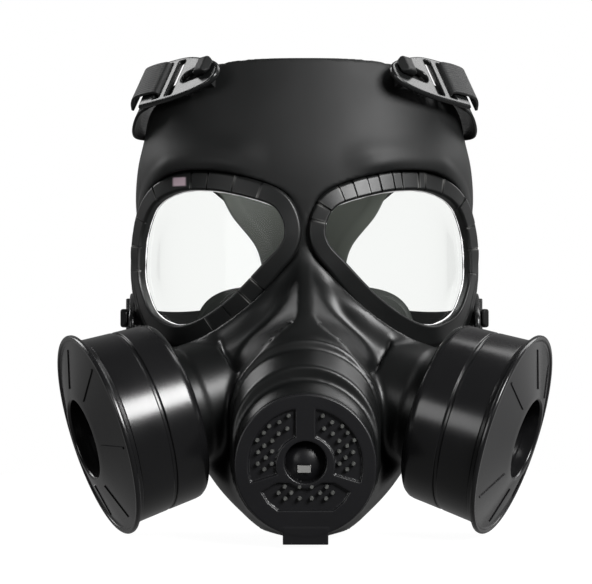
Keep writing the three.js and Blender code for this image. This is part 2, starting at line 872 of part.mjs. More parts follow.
// Routes round the back of the head, from the buckle to the pad: places and the lean of the strap's width.
const upperRoute = [
  [0.936 * templeHalfWidth, 0.285 * padY, 0.796 * foreheadHeight, -0.25],
  [0.895 * templeHalfWidth, 0.42 * padY, 0.745 * foreheadHeight, -0.05],
  [0.855 * templeHalfWidth, 0.63 * padY, 0.69 * foreheadHeight, 0.05],
  [0.81 * templeHalfWidth, 0.835 * padY, 0.63 * foreheadHeight, 0.2],
  [0.667 * padTopWidth, 0.974 * strapBackY, 1.38 * padTopZ, 0.42],
  [0.56 * padTopWidth, strapBackY + 0.5, 1.21 * padTopZ, 0.52],
  [0.4 * padTopWidth, strapBackY + 0.2, 0.85 * padTopZ, 0.6],
  [0.22 * padTopWidth, strapBackY, 0.45 * padTopZ, 0.62],
];
const lowerRoute = [
  [0.93 * templeHalfWidth, 0.74 * padY, 1.2 * lowerSeatZ * 0.9, 0],
  [0.62 * templeHalfWidth, 0.93 * padY, 0.92 * lowerSeatZ, -0.1],
  [0.75 * padWaistWidth, strapBackY, 0.82 * padBottomZ, -0.2],
  [0.5 * padWaistWidth, strapBackY, 0.75 * padBottomZ, -0.25],
  [0.12 * padWaistWidth, strapBackY, 0.62 * padBottomZ, -0.25],
];

function backPad() {
  const top = padTopWidth / 2;
  const waist = padWaistWidth / 2;
  const round = 6;
  const shape = new THREE.Shape();
  shape.moveTo(-waist, padBottomZ + round);
  shape.quadraticCurveTo(-waist, padBottomZ, -waist + round, padBottomZ);
  shape.lineTo(waist - round, padBottomZ);
  shape.quadraticCurveTo(waist, padBottomZ, waist, padBottomZ + round);
  shape.quadraticCurveTo(waist, 0.1 * padTopZ, top - 0.5 * round, padTopZ - 1.8 * round);
  shape.quadraticCurveTo(top + round, padTopZ, top - 1.5 * round, padTopZ);
  shape.quadraticCurveTo(0, padTopZ - 1.2 * round, -top + 1.5 * round, padTopZ);
  shape.quadraticCurveTo(-top - round, padTopZ, -top + 0.5 * round, padTopZ - 1.8 * round);
  shape.quadraticCurveTo(-waist, 0.1 * padTopZ, -waist, padBottomZ + round);
  const pad = new THREE.ExtrudeGeometry(shape, {
    depth: padThickness,
    bevelEnabled: false,
    curveSegments: 5,
  });
  pad.rotateX(Math.PI / 2);
  pad.translate(0, padY + padThickness, 0);
  return solidOf(pad);
}

// Assembly of the face piece: its outside, cut to its edge, less its inside and everything that seats in it

function faceShell() {
  const top = levelToZ(1.08);
  const backEnd = 1.4 * sideReach;
  const outside = faceLump(0, -chinDrop, top, backEnd);
  const inside = faceLump(wall, -chinDrop + wall, top + 1, backEnd + 5);
  const edge = edgePrism();
  const seat = eyeSeat();
  const block = eyeBlock();
  const opening = eyeOpening();
  const bossEnd = -drumDepth - touchGap;
  let shell = outside.intersect(edge).add(muzzle());
  for (const side of [1, -1])
    shell = shell.add(rodInDrumFrame(side, portRadius, bossEnd - 24, bossEnd));
  shell = shell.add(seat).add(mirrored(seat));
  shell = shell.subtract(inside.subtract(block).subtract(mirrored(block)));
  shell = shell.subtract(rodAlongY(boreRadius, capFaceY - 1, capFaceY + 60));
  shell = shell.subtract(opening).subtract(mirrored(opening));
  for (const side of [1, -1]) {
    shell = shell.subtract(rodInDrumFrame(side, airwayRadius, bossEnd - 60, bossEnd + 1));
    shell = shell.subtract(rodInDrumFrame(side, flangeRadius + 1, bossEnd, bossEnd + 60));
  }
  for (const frame of [upperFrame, lowerFrame]) {
    const post = hook(frame);
    shell = shell.add(post).add(mirrored(post));
  }
  return shell;
}

// Materials

function finish(color, roughness) {
  return new THREE.MeshStandardMaterial({ color, roughness, metalness: 0 });
}

const vinyl = finish(0x1c1d1d, 0.42);
const rimVinyl = finish(0x191a1a, 0.5);
const clearSheet = new THREE.MeshStandardMaterial({
  color: 0xf2f5f5,
  roughness: 0.05,
  metalness: 0,
  transparent: true,
  opacity: 0.3,
});
const hardPlastic = finish(0x1a1a1b, 0.3);
const capPlastic = finish(0x17181a, 0.45);
const cupRubber = finish(0x242524, 0.6);
const webbing = finish(0x141414, 0.85);
const padRubber = finish(0x1e1f1e, 0.6);

const mask = new THREE.Group();

function place(name, solid, material, group = mask) {
  const mesh = new THREE.Mesh(geometryOf(solid), material);
  mesh.name = name;
  group.add(mesh);
}

function placePair(name, solid, material) {
  place(name + "_right", solid, material);
  place(name + "_left", mirrored(solid), material);
}

place("face_shell", faceShell(), vinyl);
placePair("eye_rim", eyeRim(), rimVinyl);
placePair("lens", lens(), clearSheet);
place("voice_cap", voiceCap(), capPlastic);
place("inner_nose_cup", innerCup(), cupRubber);
for (const [side, word] of [
  [1, "right"],
  [-1, "left"],
]) {
  const drum = drumFrame(side);
  mask.add(drum);
  place("filter_drum_" + word, drumBody(), hardPlastic, drum);
  place("filter_cover_" + word, drumCover(), hardPlastic, drum);
}
placePair("upper_buckle", buckle(upperFrame), hardPlastic);
placePair("lower_buckle", buckle(lowerFrame), hardPlastic);
placePair("upper_strap", strap(upperFrame, upperRoute), webbing);
placePair("lower_strap", strap(lowerFrame, lowerRoute), webbing);
place("back_pad", backPad(), padRubber);

export default mask;
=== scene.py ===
# A gas mask style costume mask: a moulded face piece, eye rims and lenses, a voice cap on the muzzle, a filter drum
# on each cheek, an inner nose cup, and a harness of buckles, straps and a back pad. Metres, +Z up, seen along +Y.
import math

import bmesh
import bpy
import numpy as np
from mathutils import Matrix, Quaternion, Vector


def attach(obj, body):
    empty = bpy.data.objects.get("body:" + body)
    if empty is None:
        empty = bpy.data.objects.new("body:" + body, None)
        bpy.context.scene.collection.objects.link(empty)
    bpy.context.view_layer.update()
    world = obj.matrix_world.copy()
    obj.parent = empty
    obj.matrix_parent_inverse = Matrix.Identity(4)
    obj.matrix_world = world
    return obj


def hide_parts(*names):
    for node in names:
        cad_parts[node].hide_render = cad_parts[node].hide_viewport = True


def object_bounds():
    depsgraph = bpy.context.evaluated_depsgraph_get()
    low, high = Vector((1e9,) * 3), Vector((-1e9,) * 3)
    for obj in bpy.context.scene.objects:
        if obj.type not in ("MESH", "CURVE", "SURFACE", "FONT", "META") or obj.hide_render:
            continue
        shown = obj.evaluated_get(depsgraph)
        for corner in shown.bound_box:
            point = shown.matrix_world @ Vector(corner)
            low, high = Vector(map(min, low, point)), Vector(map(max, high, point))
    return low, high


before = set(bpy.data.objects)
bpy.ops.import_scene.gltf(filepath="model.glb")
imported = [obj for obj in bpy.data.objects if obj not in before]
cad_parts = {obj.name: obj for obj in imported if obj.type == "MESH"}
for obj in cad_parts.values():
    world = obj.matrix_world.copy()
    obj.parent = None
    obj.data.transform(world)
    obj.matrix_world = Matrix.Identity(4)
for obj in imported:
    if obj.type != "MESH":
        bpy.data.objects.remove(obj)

cad_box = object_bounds()

# Camera, floor and light
# A product photograph on white: the camera stands level with the middle of the mask, almost a metre in front of it,
# and large soft lights stand to both sides and above.

camera = bpy.data.objects.new("camera", bpy.data.cameras.new("camera"))
bpy.context.collection.objects.link(camera)
bpy.context.scene.camera = camera
camera.data.sensor_width = 36
camera.data.lens = 120.4
camera.location = (-0.0043, -0.95, -0.03)
camera.rotation_euler = (math.radians(90), 0, 0)


def linear(hex_colour, alpha=1.0):
    """An sRGB hex colour as linear values."""
    parts = [int(hex_colour[i:i + 2], 16) / 255 for i in (0, 2, 4)]
    return [p / 12.92 if p <= 0.04045 else ((p + 0.055) / 1.055) ** 2.4 for p in parts] + [alpha]


def add_node(tree, kind, settings=None, **inputs):
    """Adds a node with its settings; a socket is given a value or the socket that feeds it."""
    node = tree.nodes.new(kind)
    for name, value in (settings or {}).items():
        setattr(node, name, value)
    for name, value in inputs.items():
        key = int(name[1:]) if name[0] == "i" and name[1:].isdigit() else name.replace("_", " ")
        socket = node.inputs[key]
        if isinstance(value, bpy.types.NodeSocket):
            tree.links.new(value, socket)
        else:
            socket.default_value = value
    return node


def new_material(name):
    material = bpy.data.materials.new(name)
    material.use_nodes = True
    material.node_tree.nodes.clear()
    return material, material.node_tree


# A white paper floor. It is lit so that it shows all but pure white, and is kept out of the mask's reflections, as
# in a cut-out photograph; past its edge there is only white.
def paper(name, glow):
    material, tree = new_material(name)
    surface = add_node(
        tree, "ShaderNodeBsdfPrincipled", Base_Color=linear("484848"), Roughness=0.9, Emission_Color=linear("ffffff"),
        Emission_Strength=glow,
    )
    add_node(tree, "ShaderNodeOutputMaterial", Surface=surface.outputs[0])
    return material


floor_z = cad_box[0][2] - 0.002
backdrop = bpy.data.meshes.new("paper_floor")
backdrop.from_pydata(
    [(-1.7, -1.3, floor_z), (1.7, -1.3, floor_z), (1.7, 0.3, floor_z), (-1.7, 0.3, floor_z)], [], [(0, 1, 2, 3)],
)
backdrop.materials.append(paper("lit_paper", 0.97))
backdrop = bpy.data.objects.new("paper_floor", backdrop)
backdrop.visible_diffuse = False
backdrop.visible_glossy = False
bpy.context.collection.objects.link(backdrop)

# The room is dark in front, so the faces that look at the camera mirror next to nothing, and lighter behind the
# mask, which draws its edges.
world = bpy.data.worlds.new("studio")
bpy.context.scene.world = world
world.use_nodes = True
world.node_tree.nodes.clear()
seen = add_node(world.node_tree, "ShaderNodeLightPath").outputs["Is Camera Ray"]
backing = add_node(world.node_tree, "ShaderNodeBackground", Color=linear("ffffff"), Strength=1.0)
way = add_node(world.node_tree, "ShaderNodeTexCoord").outputs["Generated"]
way = add_node(world.node_tree, "ShaderNodeSeparateXYZ", Vector=way)
behind = add_node(world.node_tree, "ShaderNodeMapRange", i0=way.outputs["Y"], i1=0.2, i2=0.9, i3=0.04, i4=0.2)
below = add_node(world.node_tree, "ShaderNodeMapRange", i0=way.outputs["Z"], i1=-0.1, i2=-0.9, i3=0.0, i4=0.12)
around = add_node(world.node_tree, "ShaderNodeMath", {"operation": "ADD"}, i0=behind.outputs[0], i1=below.outputs[0])
room = add_node(world.node_tree, "ShaderNodeBackground", Color=linear("ffffff"), Strength=around.outputs[0])
sky = add_node(world.node_tree, "ShaderNodeMixShader", i0=seen, i1=room.outputs[0], i2=backing.outputs[0])
add_node(world.node_tree, "ShaderNodeOutputWorld", Surface=sky.outputs[0])
bpy.context.scene.view_settings.view_transform = "Standard"

# The key light hangs to the right above the camera and a weak one stands low opposite. One hangs overhead behind the
# mask and one high behind each of its sides; large dim screens stand lower behind the sides.
for name, place, aim, size, power in (
    ("key_softbox", (0.62, -0.82, 0.5), (0, 0, -0.05), (0.5, 0.45), 17),
    ("fill_softbox", (-0.7, -0.8, 0.12), (0, 0, -0.05), (0.5, 0.35), 1.8),
    ("top_softbox", (0.42, 0.3, 0.85), (0, 0, -0.05), (0.5, 0.5), 3),
    ("right_strip", (0.85, 0.5, 0.6), (0, 0, 0), (0.4, 0.7), 4),
    ("left_strip", (-0.85, 0.5, 0.6), (0, 0, 0), (0.4, 0.7), 5),
    ("right_screen", (1.1, 0.5, -0.2), (0, 0, -0.1), (1.3, 1.3), 2.2),
    ("left_screen", (-1.1, 0.5, -0.2), (0, 0, -0.1), (1.3, 1.3), 0.6),
):
    lamp = bpy.data.lights.new(name, "AREA")
    lamp.shape = "RECTANGLE"
    lamp.size, lamp.size_y = size
    lamp.energy = power
    lamp = bpy.data.objects.new(name, lamp)
    lamp.location = place
    lamp.rotation_euler = (Vector(aim) - Vector(place)).to_track_quat("-Z", "Y").to_euler()
    lamp.visible_camera = False
    bpy.context.collection.objects.link(lamp)

# Face piece
# One hollow moulding of soft black vinyl: forehead, brow, nose, stepped muzzle, cheeks and chin, with a seat round
# each eye and a boss on each cheek. Its shape is worked out as a distance to the surface, in millimetres, with
# joints filleted as the mould fillets them, and then skinned.

def smooth_column(knots, values):
    """A smooth curve through a table's column, level beyond its ends."""
    knots = np.asarray(knots, float)
    values = np.asarray(values, float)
    order = np.argsort(knots)
    knots, values = knots[order], values[order]
    slopes = np.gradient(values, knots)

    def at(place):
        place = np.clip(place, knots[0], knots[-1])
        i = np.clip(np.searchsorted(knots, place) - 1, 0, len(knots) - 2)
        span = knots[i + 1] - knots[i]
        t = (place - knots[i]) / span
        return (
            values[i] * (2 * t**3 - 3 * t**2 + 1)
            + values[i + 1] * (3 * t**2 - 2 * t**3)
            + span * (slopes[i] * (t**3 - 2 * t**2 + t) + slopes[i + 1] * (t**3 - t**2))
        )

    return at


def smooth_join(a, b, fillet):
    """The union of two forms with a fillet in the corner between them."""
    share = np.clip(0.5 + 0.5 * (b - a) / fillet, 0, 1)
    return b + (a - b) * share - fillet * share * (1 - share)


def smooth_cut(a, b, fillet):
    """What two forms share, with the edge between them rounded."""
    return -smooth_join(-a, -b, fillet)


def fade(edge_from, edge_to, value):
    t = np.clip((value - edge_from) / (edge_to - edge_from), 0, 1)
    return t * t * (3 - 2 * t)


WALL = 2.5

# height, half width, front, depth from the front to the widest place, squareness
FACE_SECTIONS = [
    (-141.0, 22.4, -23.2, 23.0, 2.2),
    (-131.1, 35.3, -26.5, 32.0, 2.1),
    (-115.6, 48.6, -27.5, 42.2, 2.0),
    (-98.7, 58.5, -26.5, 51.2, 2.0),
    (-77.6, 67.9, -23.2, 58.9, 2.0),
    (-56.4, 77.0, -16.7, 63.4, 1.95),
    (-35.3, 82.1, -10.0, 65.3, 1.9),
    (0.0, 84.7, -2.5, 64.0, 1.9),
    (16.5, 85.8, -3.5, 62.7, 2.0),
    (32.9, 84.5, -3.2, 62.1, 2.15),
    (49.4, 81.0, -0.5, 61.4, 2.25),
    (65.8, 79.0, 2.7, 60.2, 2.25),
    (88.9, 75.5, 8.1, 58.9, 2.2),
]
half_width_at, front_at, depth_at, power_at = (
    smooth_column([row[0] for row in FACE_SECTIONS], [row[k] for row in FACE_SECTIONS])
    for k in (1, 2, 3, 4)
)

# height, how far the nose stands out, half width of its flat front and of its foot
NOSE_SECTIONS = [
    (-84.6, 10.0, 26.0, 39.0), (-64.9, 14.0, 24.0, 36.0), (-55.0, 17.0, 18.5, 31.0), (-51.0, 16.6, 14.6, 28.0),
    (-47.6, 15.4, 10.2, 25.0), (-44.0, 14.0, 6.2, 22.0), (-41.0, 12.9, 4.2, 20.0), (-37.7, 11.3, 3.6, 18.0),
    (-32.0, 8.8, 3.3, 15.0), (-27.0, 6.3, 3.2, 13.0), (-15.5, 1.2, 2.6, 9.0), (-8.5, 0.0, 1.6, 6.5),
]
nose_rise_at, nose_flat_at, nose_foot_at = (
    smooth_column([row[0] for row in NOSE_SECTIONS], [row[k] for row in NOSE_SECTIONS])
    for k in (1, 2, 3)
)


def face_level(x, y, z):
    """Nought on the face, without what is mounted on it, and below it inside; its slope differs from place to place."""
    half_width = half_width_at(z)
    depth = depth_at(z)
    power = power_at(z)
    flat, foot = nose_flat_at(z), nose_foot_at(z)
    past = 0.5 * (x - flat + np.sqrt((x - flat) ** 2 + 0.9**2))
    rise = nose_rise_at(z) * np.clip(1 - past / (foot - flat), 0, 1) ** 1.9
    brow = 1.7 * np.exp(-(((z - 36 + 0.004 * (x - 40) ** 2) / 7.5) ** 2)) * fade(16, 34, x) * (1 - fade(66, 80, x))
    behind = y - front_at(z) + rise + brow
    share = np.clip(depth - behind, 0, None) / depth
    across = x / half_width
    level = (across**power + share**power) ** (1 / power)
    return (level - 1) * (half_width * across**2 + depth * share**2) / (across**2 + share**2 + 1e-6)


def face_distance(x, y, z):
    """About the distance to the face: its level over its slope there."""
    here = face_level(x, y, z)
    step = 0.4
    slope = np.sqrt(
        (face_level(np.abs(x + step), y, z) - here) ** 2
        + (face_level(x, y + step, z) - here) ** 2
        + (face_level(x, y, z + step) - here) ** 2
    ) / step
    return here / np.clip(slope, 0.6, 3.0)


# Side view of the face piece's edge: how far back, height
FACE_EDGE = [
    (-22.2, 83.5), (4.0, 83.5), (16.3, 80.0), (37.7, 64.0), (51.8, 55.6), (65.9, 46.9), (71.8, 32.9), (74.0, 0.0),
    (64.4, -40.9), (53.3, -70.5), (37.0, -104.3), (18.5, -131.1), (10.4, -148.0),
]


def smooth_path(points, steps, closed=False):
    """Points along a smooth curve through the given ones, as a Catmull-Rom spline runs."""
    points = np.asarray(points, float)
    count = len(points)
    last = count if closed else count - 1
    out = []
    for i in range(last):
        if closed:
            a, b, c, d = (points[(i + k) % count] for k in (-1, 0, 1, 2))
        else:
            b, c = points[i], points[i + 1]
            a = points[i - 1] if i else 2 * b - c
            d = points[i + 2] if i + 2 < count else 2 * c - b
        for t in np.arange(steps) / steps:
            out.append(0.5 * (2 * b + (c - a) * t + (2 * a - 5 * b + 4 * c - d) * t**2 + (3 * b - a - 3 * c + d) * t**3))
    if not closed:
        out.append(points[-1])
    return np.array(out)


def path_distance(u, v, path, closed=True):
    """Distance to a path in a plane, below nought inside it where it is closed, and the nearest place along it."""
    near = np.full(u.shape, 1e9)
    where = np.zeros(u.shape)
    inside = np.zeros(u.shape, bool)
    count = len(path)
    for i in range(count if closed else count - 1):
        (au, av), (bu, bv) = path[i], path[(i + 1) % count]
        du, dv = bu - au, bv - av
        t = np.clip(((u - au) * du + (v - av) * dv) / (du * du + dv * dv + 1e-12), 0, 1)
        gap = np.hypot(u - au - t * du, v - av - t * dv)
        nearer = gap < near
        near = np.where(nearer, gap, near)
        where = np.where(nearer, i + t, where)
        if closed and av != bv:
            inside ^= ((av > v) != (bv > v)) & (u < du * (v - av) / dv + au)
    return np.where(inside, -near, near), where


def table_reader(low, step, table):
    """Reads a table of values on a grid smoothly between its places."""
    def at(u, v):
        gu = np.clip((u - low[0]) / step, 0, table.shape[0] - 1.001)
        gv = np.clip((v - low[1]) / step, 0, table.shape[1] - 1.001)
        iu, iv = gu.astype(int), gv.astype(int)
        fu, fv = gu - iu, gv - iv
        return (
            table[iu, iv] * (1 - fu) * (1 - fv)
            + table[iu + 1, iv] * fu * (1 - fv)
            + table[iu, iv + 1] * (1 - fu) * fv
            + table[iu + 1, iv + 1] * fu * fv
        )

    return at


edge_path = smooth_path(FACE_EDGE, 8)
edge_path = np.vstack([[-120, edge_path[0][1]], edge_path, [-120, edge_path[-1][1]]])
grid_u, grid_v = np.meshgrid(np.arange(-130, 90, 1.0), np.arange(-170, 100, 1.0), indexing="ij")
edge_table, _ = path_distance(grid_u, grid_v, edge_path)
edge_distance = table_reader((-130, -170), 1.0, edge_table)

# One eye opening from its corner at the nose, upwards and round: from the middle plane, height, rim's width there
EYE_OUTLINE = [
    (9.3, -1.0, 7.9), (11.4, 6.9, 8.1), (16.3, 11.8, 8.5), (29.5, 16.1, 9.2), (44.1, 19.0, 9.4), (59.3, 18.8, 9.2),
    (71.2, 12.8, 8.5), (77.1, -0.3, 7.9), (78.8, -16.0, 7.5), (77.8, -27.8, 7.7), (71.9, -40.9, 9.4),
    (60.7, -46.2, 10.7), (48.2, -42.5, 10.5), (32.9, -31.1, 10.0), (17.6, -14.7, 8.8), (11.4, -7.8, 8.1),
]
EYE_SLOPE, EYE_CURVE, EYE_LEAN = 0.17, 0.0052, 0.03


def eye_surface(x, z):
    """How far back the eyepiece's surface lies."""
    out = x - 9.3
    return -WALL + EYE_SLOPE * out + EYE_CURVE * out**2 + EYE_LEAN * (z + 13.4)


def eye_spread(x):
    """Distance from the eye's inner corner along the surface."""
    slope = EYE_SLOPE + 2 * EYE_CURVE * (x - 9.3)
    start = EYE_SLOPE
    return ((slope * np.sqrt(1 + slope**2) + np.arcsinh(slope)) - (start * np.sqrt(1 + start**2) + np.arcsinh(start))) / (
        4 * EYE_CURVE
    )


eye_path = smooth_path(EYE_OUTLINE, 16, closed=True)
spread_path = np.column_stack([eye_spread(eye_path[:, 0]), eye_path[:, 1]])
grid_u, grid_v = np.meshgrid(np.arange(-40, 130, 0.5), np.arange(-90, 60, 0.5), indexing="ij")
eye_table, eye_where = path_distance(grid_u, grid_v, spread_path)
eye_rims = np.interp(eye_where, np.arange(len(eye_path) + 1), np.append(eye_path[:, 2], eye_path[0, 2]))
eye_distance = table_reader((-40, -90), 0.5, eye_table)
rim_width_at = table_reader((-40, -90), 0.5, eye_rims)


def eye_place(x, y, z):
    """A place seen from the eyepiece: how far outside its opening, how high off its surface, and the rim's width."""
    foot_x, foot_z = x, z
    for _ in range(4):
        slope = EYE_SLOPE + 2 * EYE_CURVE * (foot_x - 9.3)
        size = np.sqrt(slope**2 + 1 + EYE_LEAN**2)
        height = ((x - foot_x) * slope + eye_surface(foot_x, foot_z) - y + (z - foot_z) * EYE_LEAN) / size
        height = np.clip(height, -40, 40)
        foot_x = np.clip(x - height * slope / size, -30, 105)
        foot_z = z - height * EYE_LEAN / size
    spread = eye_spread(foot_x)
    return eye_distance(spread, foot_z), height, rim_width_at(spread, foot_z)


DRUM_AXIS = np.array([0.891, -0.358, -0.277])
DRUM_AXIS /= np.linalg.norm(DRUM_AXIS)
DRUM_CENTRE = np.array([96.9, -18.0, -97.0])
DRUM_DEPTH = 38.5
CAP_CENTRE_Z = -108.2


def drum_place(x, y, z):
    """A place seen from a drum: how far along its axis from the flange, and how far off the axis."""
    px, py, pz = x - DRUM_CENTRE[0], y - DRUM_CENTRE[1], z - DRUM_CENTRE[2]
    along = px * DRUM_AXIS[0] + py * DRUM_AXIS[1] + pz * DRUM_AXIS[2]
    off = np.sqrt(np.clip(px**2 + py**2 + pz**2 - along**2, 0, None))
    return along, off


# The muzzle's three steps: front face, crown's height at the root and at the front, root, radius
MUZZLE_STEPS = [
    (-33.2, -50.0, -52.5, -10.0, 35.0),
    (-45.2, -56.0, -63.8, -33.6, 33.8),
    (-53.3, -70.6, -76.2, -45.8, 32.2),
]


def face_piece(x, y, z):
    """Below nought inside the face piece's vinyl."""
    x = np.abs(x)
    out, up, rim = eye_place(x, y, z)
    below = fade(8, -14, z) * (1 - fade(52, 72, x))
    swell = 2.8 * fade(-24, -40, z) * (1 - fade(52, 72, x)) * fade(13, 2, out - rim)
    bare = face_distance(x, y, z) - swell
    skin_out = smooth_cut(smooth_cut(bare, edge_distance(y, z), 0.9), -144.0 + 0.11 * x - z, 1.5)
    for front, crown_root, crown_front, root, radius in MUZZLE_STEPS:
        crown = crown_root + (crown_front - crown_root) * np.clip((root - y) / (root - front), 0, 1)
        top = np.maximum(crown - radius, CAP_CENTRE_Z)
        step = np.hypot(x, z - np.clip(z, CAP_CENTRE_Z, top)) - radius
        step = smooth_cut(step, front - y, 1.3)
        step = np.maximum(step, y - 10)
        skin_out = smooth_join(skin_out, step, 3.5 if root == -10.0 else 0.8)
    along, off = drum_place(x, y, z)
    boss = smooth_cut(off - 28.0 - 0.5 * fade(-46, -48, along), along + DRUM_DEPTH + 0.3, 1.5)
    skin_out = smooth_join(skin_out, np.maximum(boss, -along - 64), 4.5)
    margin = 2.4 + 2.0 * below
    seat = np.maximum(out - rim - margin, np.maximum(up + 0.25 * below * np.clip(out - rim, 0, None), -up - 7))
    skin_out = smooth_join(skin_out, seat, 1.2)
    above = fade(2, 16, z) * fade(12, 40, x) * (1 - fade(68, 84, x))
    ledge = np.hypot(out - rim - 4.6, up + 4.0 - 8.0 * above) - 2.6
    skin_out = smooth_join(skin_out, ledge, 3.0)
    hollow = np.maximum(bare + WALL, -z - 138.5)
    hollow = smooth_cut(hollow, -np.maximum(out - rim - margin, -up - 7), 2.0)
    shell = smooth_cut(skin_out, -hollow, 0.8)
    shell = np.maximum(shell, -np.maximum(np.hypot(x, z - CAP_CENTRE_Z) - 27.5, y - 2))
    shell = np.maximum(shell, -np.maximum(off - 11, np.maximum(along + 37.8, -along - 98)))
    near = -up - 17.5
    shell = np.maximum(shell, -np.maximum(out - rim - 0.3, -up))
    shell = np.maximum(shell, -np.maximum(out - 1.7, -up - 1.8))
    shell = np.maximum(shell, -np.maximum(out, near))
    depth = y - eye_surface(x, z)
    nearer = 1 - depth / (950 + y)
    ahead = eye_distance(eye_spread(x * nearer), (z + 30) * nearer - 30)
    shell = np.maximum(shell, -np.maximum(ahead, np.maximum(1.0 - depth, depth - 70)))
    drum_room = np.maximum(off - 49.8, np.maximum(along - 21.2, -along - 38.8))
    return np.maximum(shell, -drum_room)


def skin_form(form, low, high, cell, settle=3, even=False):
    """Skins a form, given as distances to its surface, with faces of one cell's size; an even one mirrors in x."""
    axes = [np.arange(a, b + cell, cell) for a, b in zip(low, high)]
    if even:
        half = np.arange(cell / 2, high[0] + cell, cell)
        axes[0] = np.append(-half[::-1], half)
        values = form(*np.meshgrid(half, axes[1], axes[2], indexing="ij"))
        values = np.concatenate([values[::-1], values])
    else:
        values = form(*np.meshgrid(*axes, indexing="ij"))
    inside = values < 0
    shape = np.array(values.shape)
    corners = [(i, j, k) for i in (0, 1) for j in (0, 1) for k in (0, 1)]

    def shifted(table, offset):
        return table[tuple(slice(o, o + n - 1) for o, n in zip(offset, shape))]

    count = sum(shifted(inside, c).astype(int) for c in corners)
    crossed = (count > 0) & (count < 8)
    cells = np.argwhere(crossed)
    number = np.full(crossed.shape, -1)
    number[tuple(cells.T)] = np.arange(len(cells))
    total = np.zeros((len(cells), 3))
    hits = np.zeros(len(cells))
    for a in corners:
        for axis in range(3):
            if a[axis]:
                continue
            b = tuple(1 if k == axis else a[k] for k in range(3))
            va = values[tuple((cells + a).T)]
            vb = values[tuple((cells + b).T)]
            hit = (va < 0) != (vb < 0)
            t = np.where(hit, va / np.where(hit, va - vb, 1), 0)
            spot = cells + np.array(a, float)
            spot[:, axis] += t
            total += spot * hit[:, None]
            hits += hit
    points = total / hits[:, None]
    points = np.array([a[0] for a in axes]) + points * cell
    for _ in range(settle):
        delta = 0.05
        here = form(*points.T)
        slope = np.column_stack([
            form(*(points + delta * np.eye(3)[k]).T) - form(*(points - delta * np.eye(3)[k]).T) for k in range(3)
        ]) / (2 * delta)
        move = -here[:, None] * slope / (np.sum(slope**2, axis=1) + 1e-3)[:, None]
        size = np.linalg.norm(move, axis=1)
        points += move * np.minimum(1, 0.35 * cell / (size + 1e-9))[:, None]
    faces = []
    for axis in range(3):
        u, v = (axis + 1) % 3, (axis + 2) % 3
        a = inside[tuple(slice(0, n - 1) if k == axis else slice(1, n - 1) for k, n in enumerate(shape))]
        b = inside[tuple(slice(1, n) if k == axis else slice(1, n - 1) for k, n in enumerate(shape))]
        edges = np.argwhere(a != b)
        start = edges + np.array([0 if k == axis else 1 for k in range(3)])
        leaving = a[tuple(edges.T)]
        ring = []
        for du, dv in ((-1, -1), (0, -1), (0, 0), (-1, 0)):
            spot = start.copy()
            spot[:, u] += du
            spot[:, v] += dv
            ring.append(number[tuple(spot.T)])
        ring = np.column_stack(ring)
        faces.append(np.where(leaving[:, None], ring, ring[:, ::-1]))
    return points, np.vstack(faces)


def mesh_piece(name, parts, *materials, scuff_and_glint=None, sharp=40):
    """A piece from parts, each points in millimetres and faces; a part takes the material of its number. An optional
    value a point is kept as an attribute; the rims use it to mark where pale glints are painted."""
    mesh = bpy.data.meshes.new(name)
    points, faces, kinds = [], [], []
    for number, (part_points, part_faces) in enumerate(parts):
        start = len(points)
        points += (np.asarray(part_points) / 1000).tolist()
        faces += [[start + i for i in face] for face in np.asarray(part_faces).tolist()] if isinstance(
            part_faces, np.ndarray
        ) else [[start + i for i in face] for face in part_faces]
        kinds += [min(number, len(materials) - 1)] * len(part_faces)
    mesh.from_pydata(points, [], faces)
    mesh.polygons.foreach_set("material_index", kinds)
    if scuff_and_glint is not None:
        mesh.attributes.new("scuff_and_glint", "FLOAT", "POINT").data.foreach_set("value", scuff_and_glint.astype(np.float32))
    form = bmesh.new()
    form.from_mesh(mesh)
    bmesh.ops.remove_doubles(form, verts=form.verts, dist=1e-7)
    bmesh.ops.recalc_face_normals(form, faces=form.faces)
    form.to_mesh(mesh)
    form.free()
    mesh.shade_smooth()
    mesh.set_sharp_from_angle(angle=math.radians(sharp))
    for material in materials:
        mesh.materials.append(material)
    piece = bpy.data.objects.new(name, mesh)
    bpy.context.collection.objects.link(piece)
    return piece


# Soft vinyl from a polished mould: black, with a faint unevenness; the forehead has a broad dull sheen and the nose
# and muzzle, which are handled, a sharper gloss.
vinyl, tree = new_material("moulded_vinyl")
place = add_node(tree, "ShaderNodeTexCoord").outputs["Object"]
broad = add_node(tree, "ShaderNodeTexNoise", Vector=place, Scale=38.0, Detail=3.0)
fine = add_node(tree, "ShaderNodeTexNoise", Vector=place, Scale=900.0, Detail=2.0)
tone = add_node(tree, "ShaderNodeMix", {"data_type": "RGBA"}, Factor=broad.outputs["Fac"], A=linear("0b0c0c"), B=linear("121313"))
height = add_node(tree, "ShaderNodeSeparateXYZ", Vector=place)
handled = add_node(tree, "ShaderNodeMapRange", Value=height.outputs["Z"], From_Min=-0.03, From_Max=0.03, To_Min=0.3, To_Max=0.5)
gloss = add_node(tree, "ShaderNodeMath", {"operation": "MULTIPLY_ADD"}, i0=broad.outputs["Fac"], i1=0.12, i2=handled.outputs[0])
swell = add_node(tree, "ShaderNodeBump", Strength=0.25, Distance=0.0006, Height=broad.outputs["Fac"])
grain = add_node(tree, "ShaderNodeBump", Strength=0.12, Distance=0.0001, Height=fine.outputs["Fac"], Normal=swell.outputs[0])
surface = add_node(
    tree, "ShaderNodeBsdfPrincipled", Base_Color=tone.outputs["Result"], Roughness=gloss.outputs[0], Normal=grain.outputs[0],
    IOR=1.45,
)
add_node(tree, "ShaderNodeOutputMaterial", Surface=surface.outputs[0])
face = mesh_piece("face_piece", [skin_form(face_piece, (-97.1, -58.1, -144.6), (97.1, 78.0, 86.1), 1.3, even=True)], vinyl, sharp=100)
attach(face, "root")
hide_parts("face_shell")

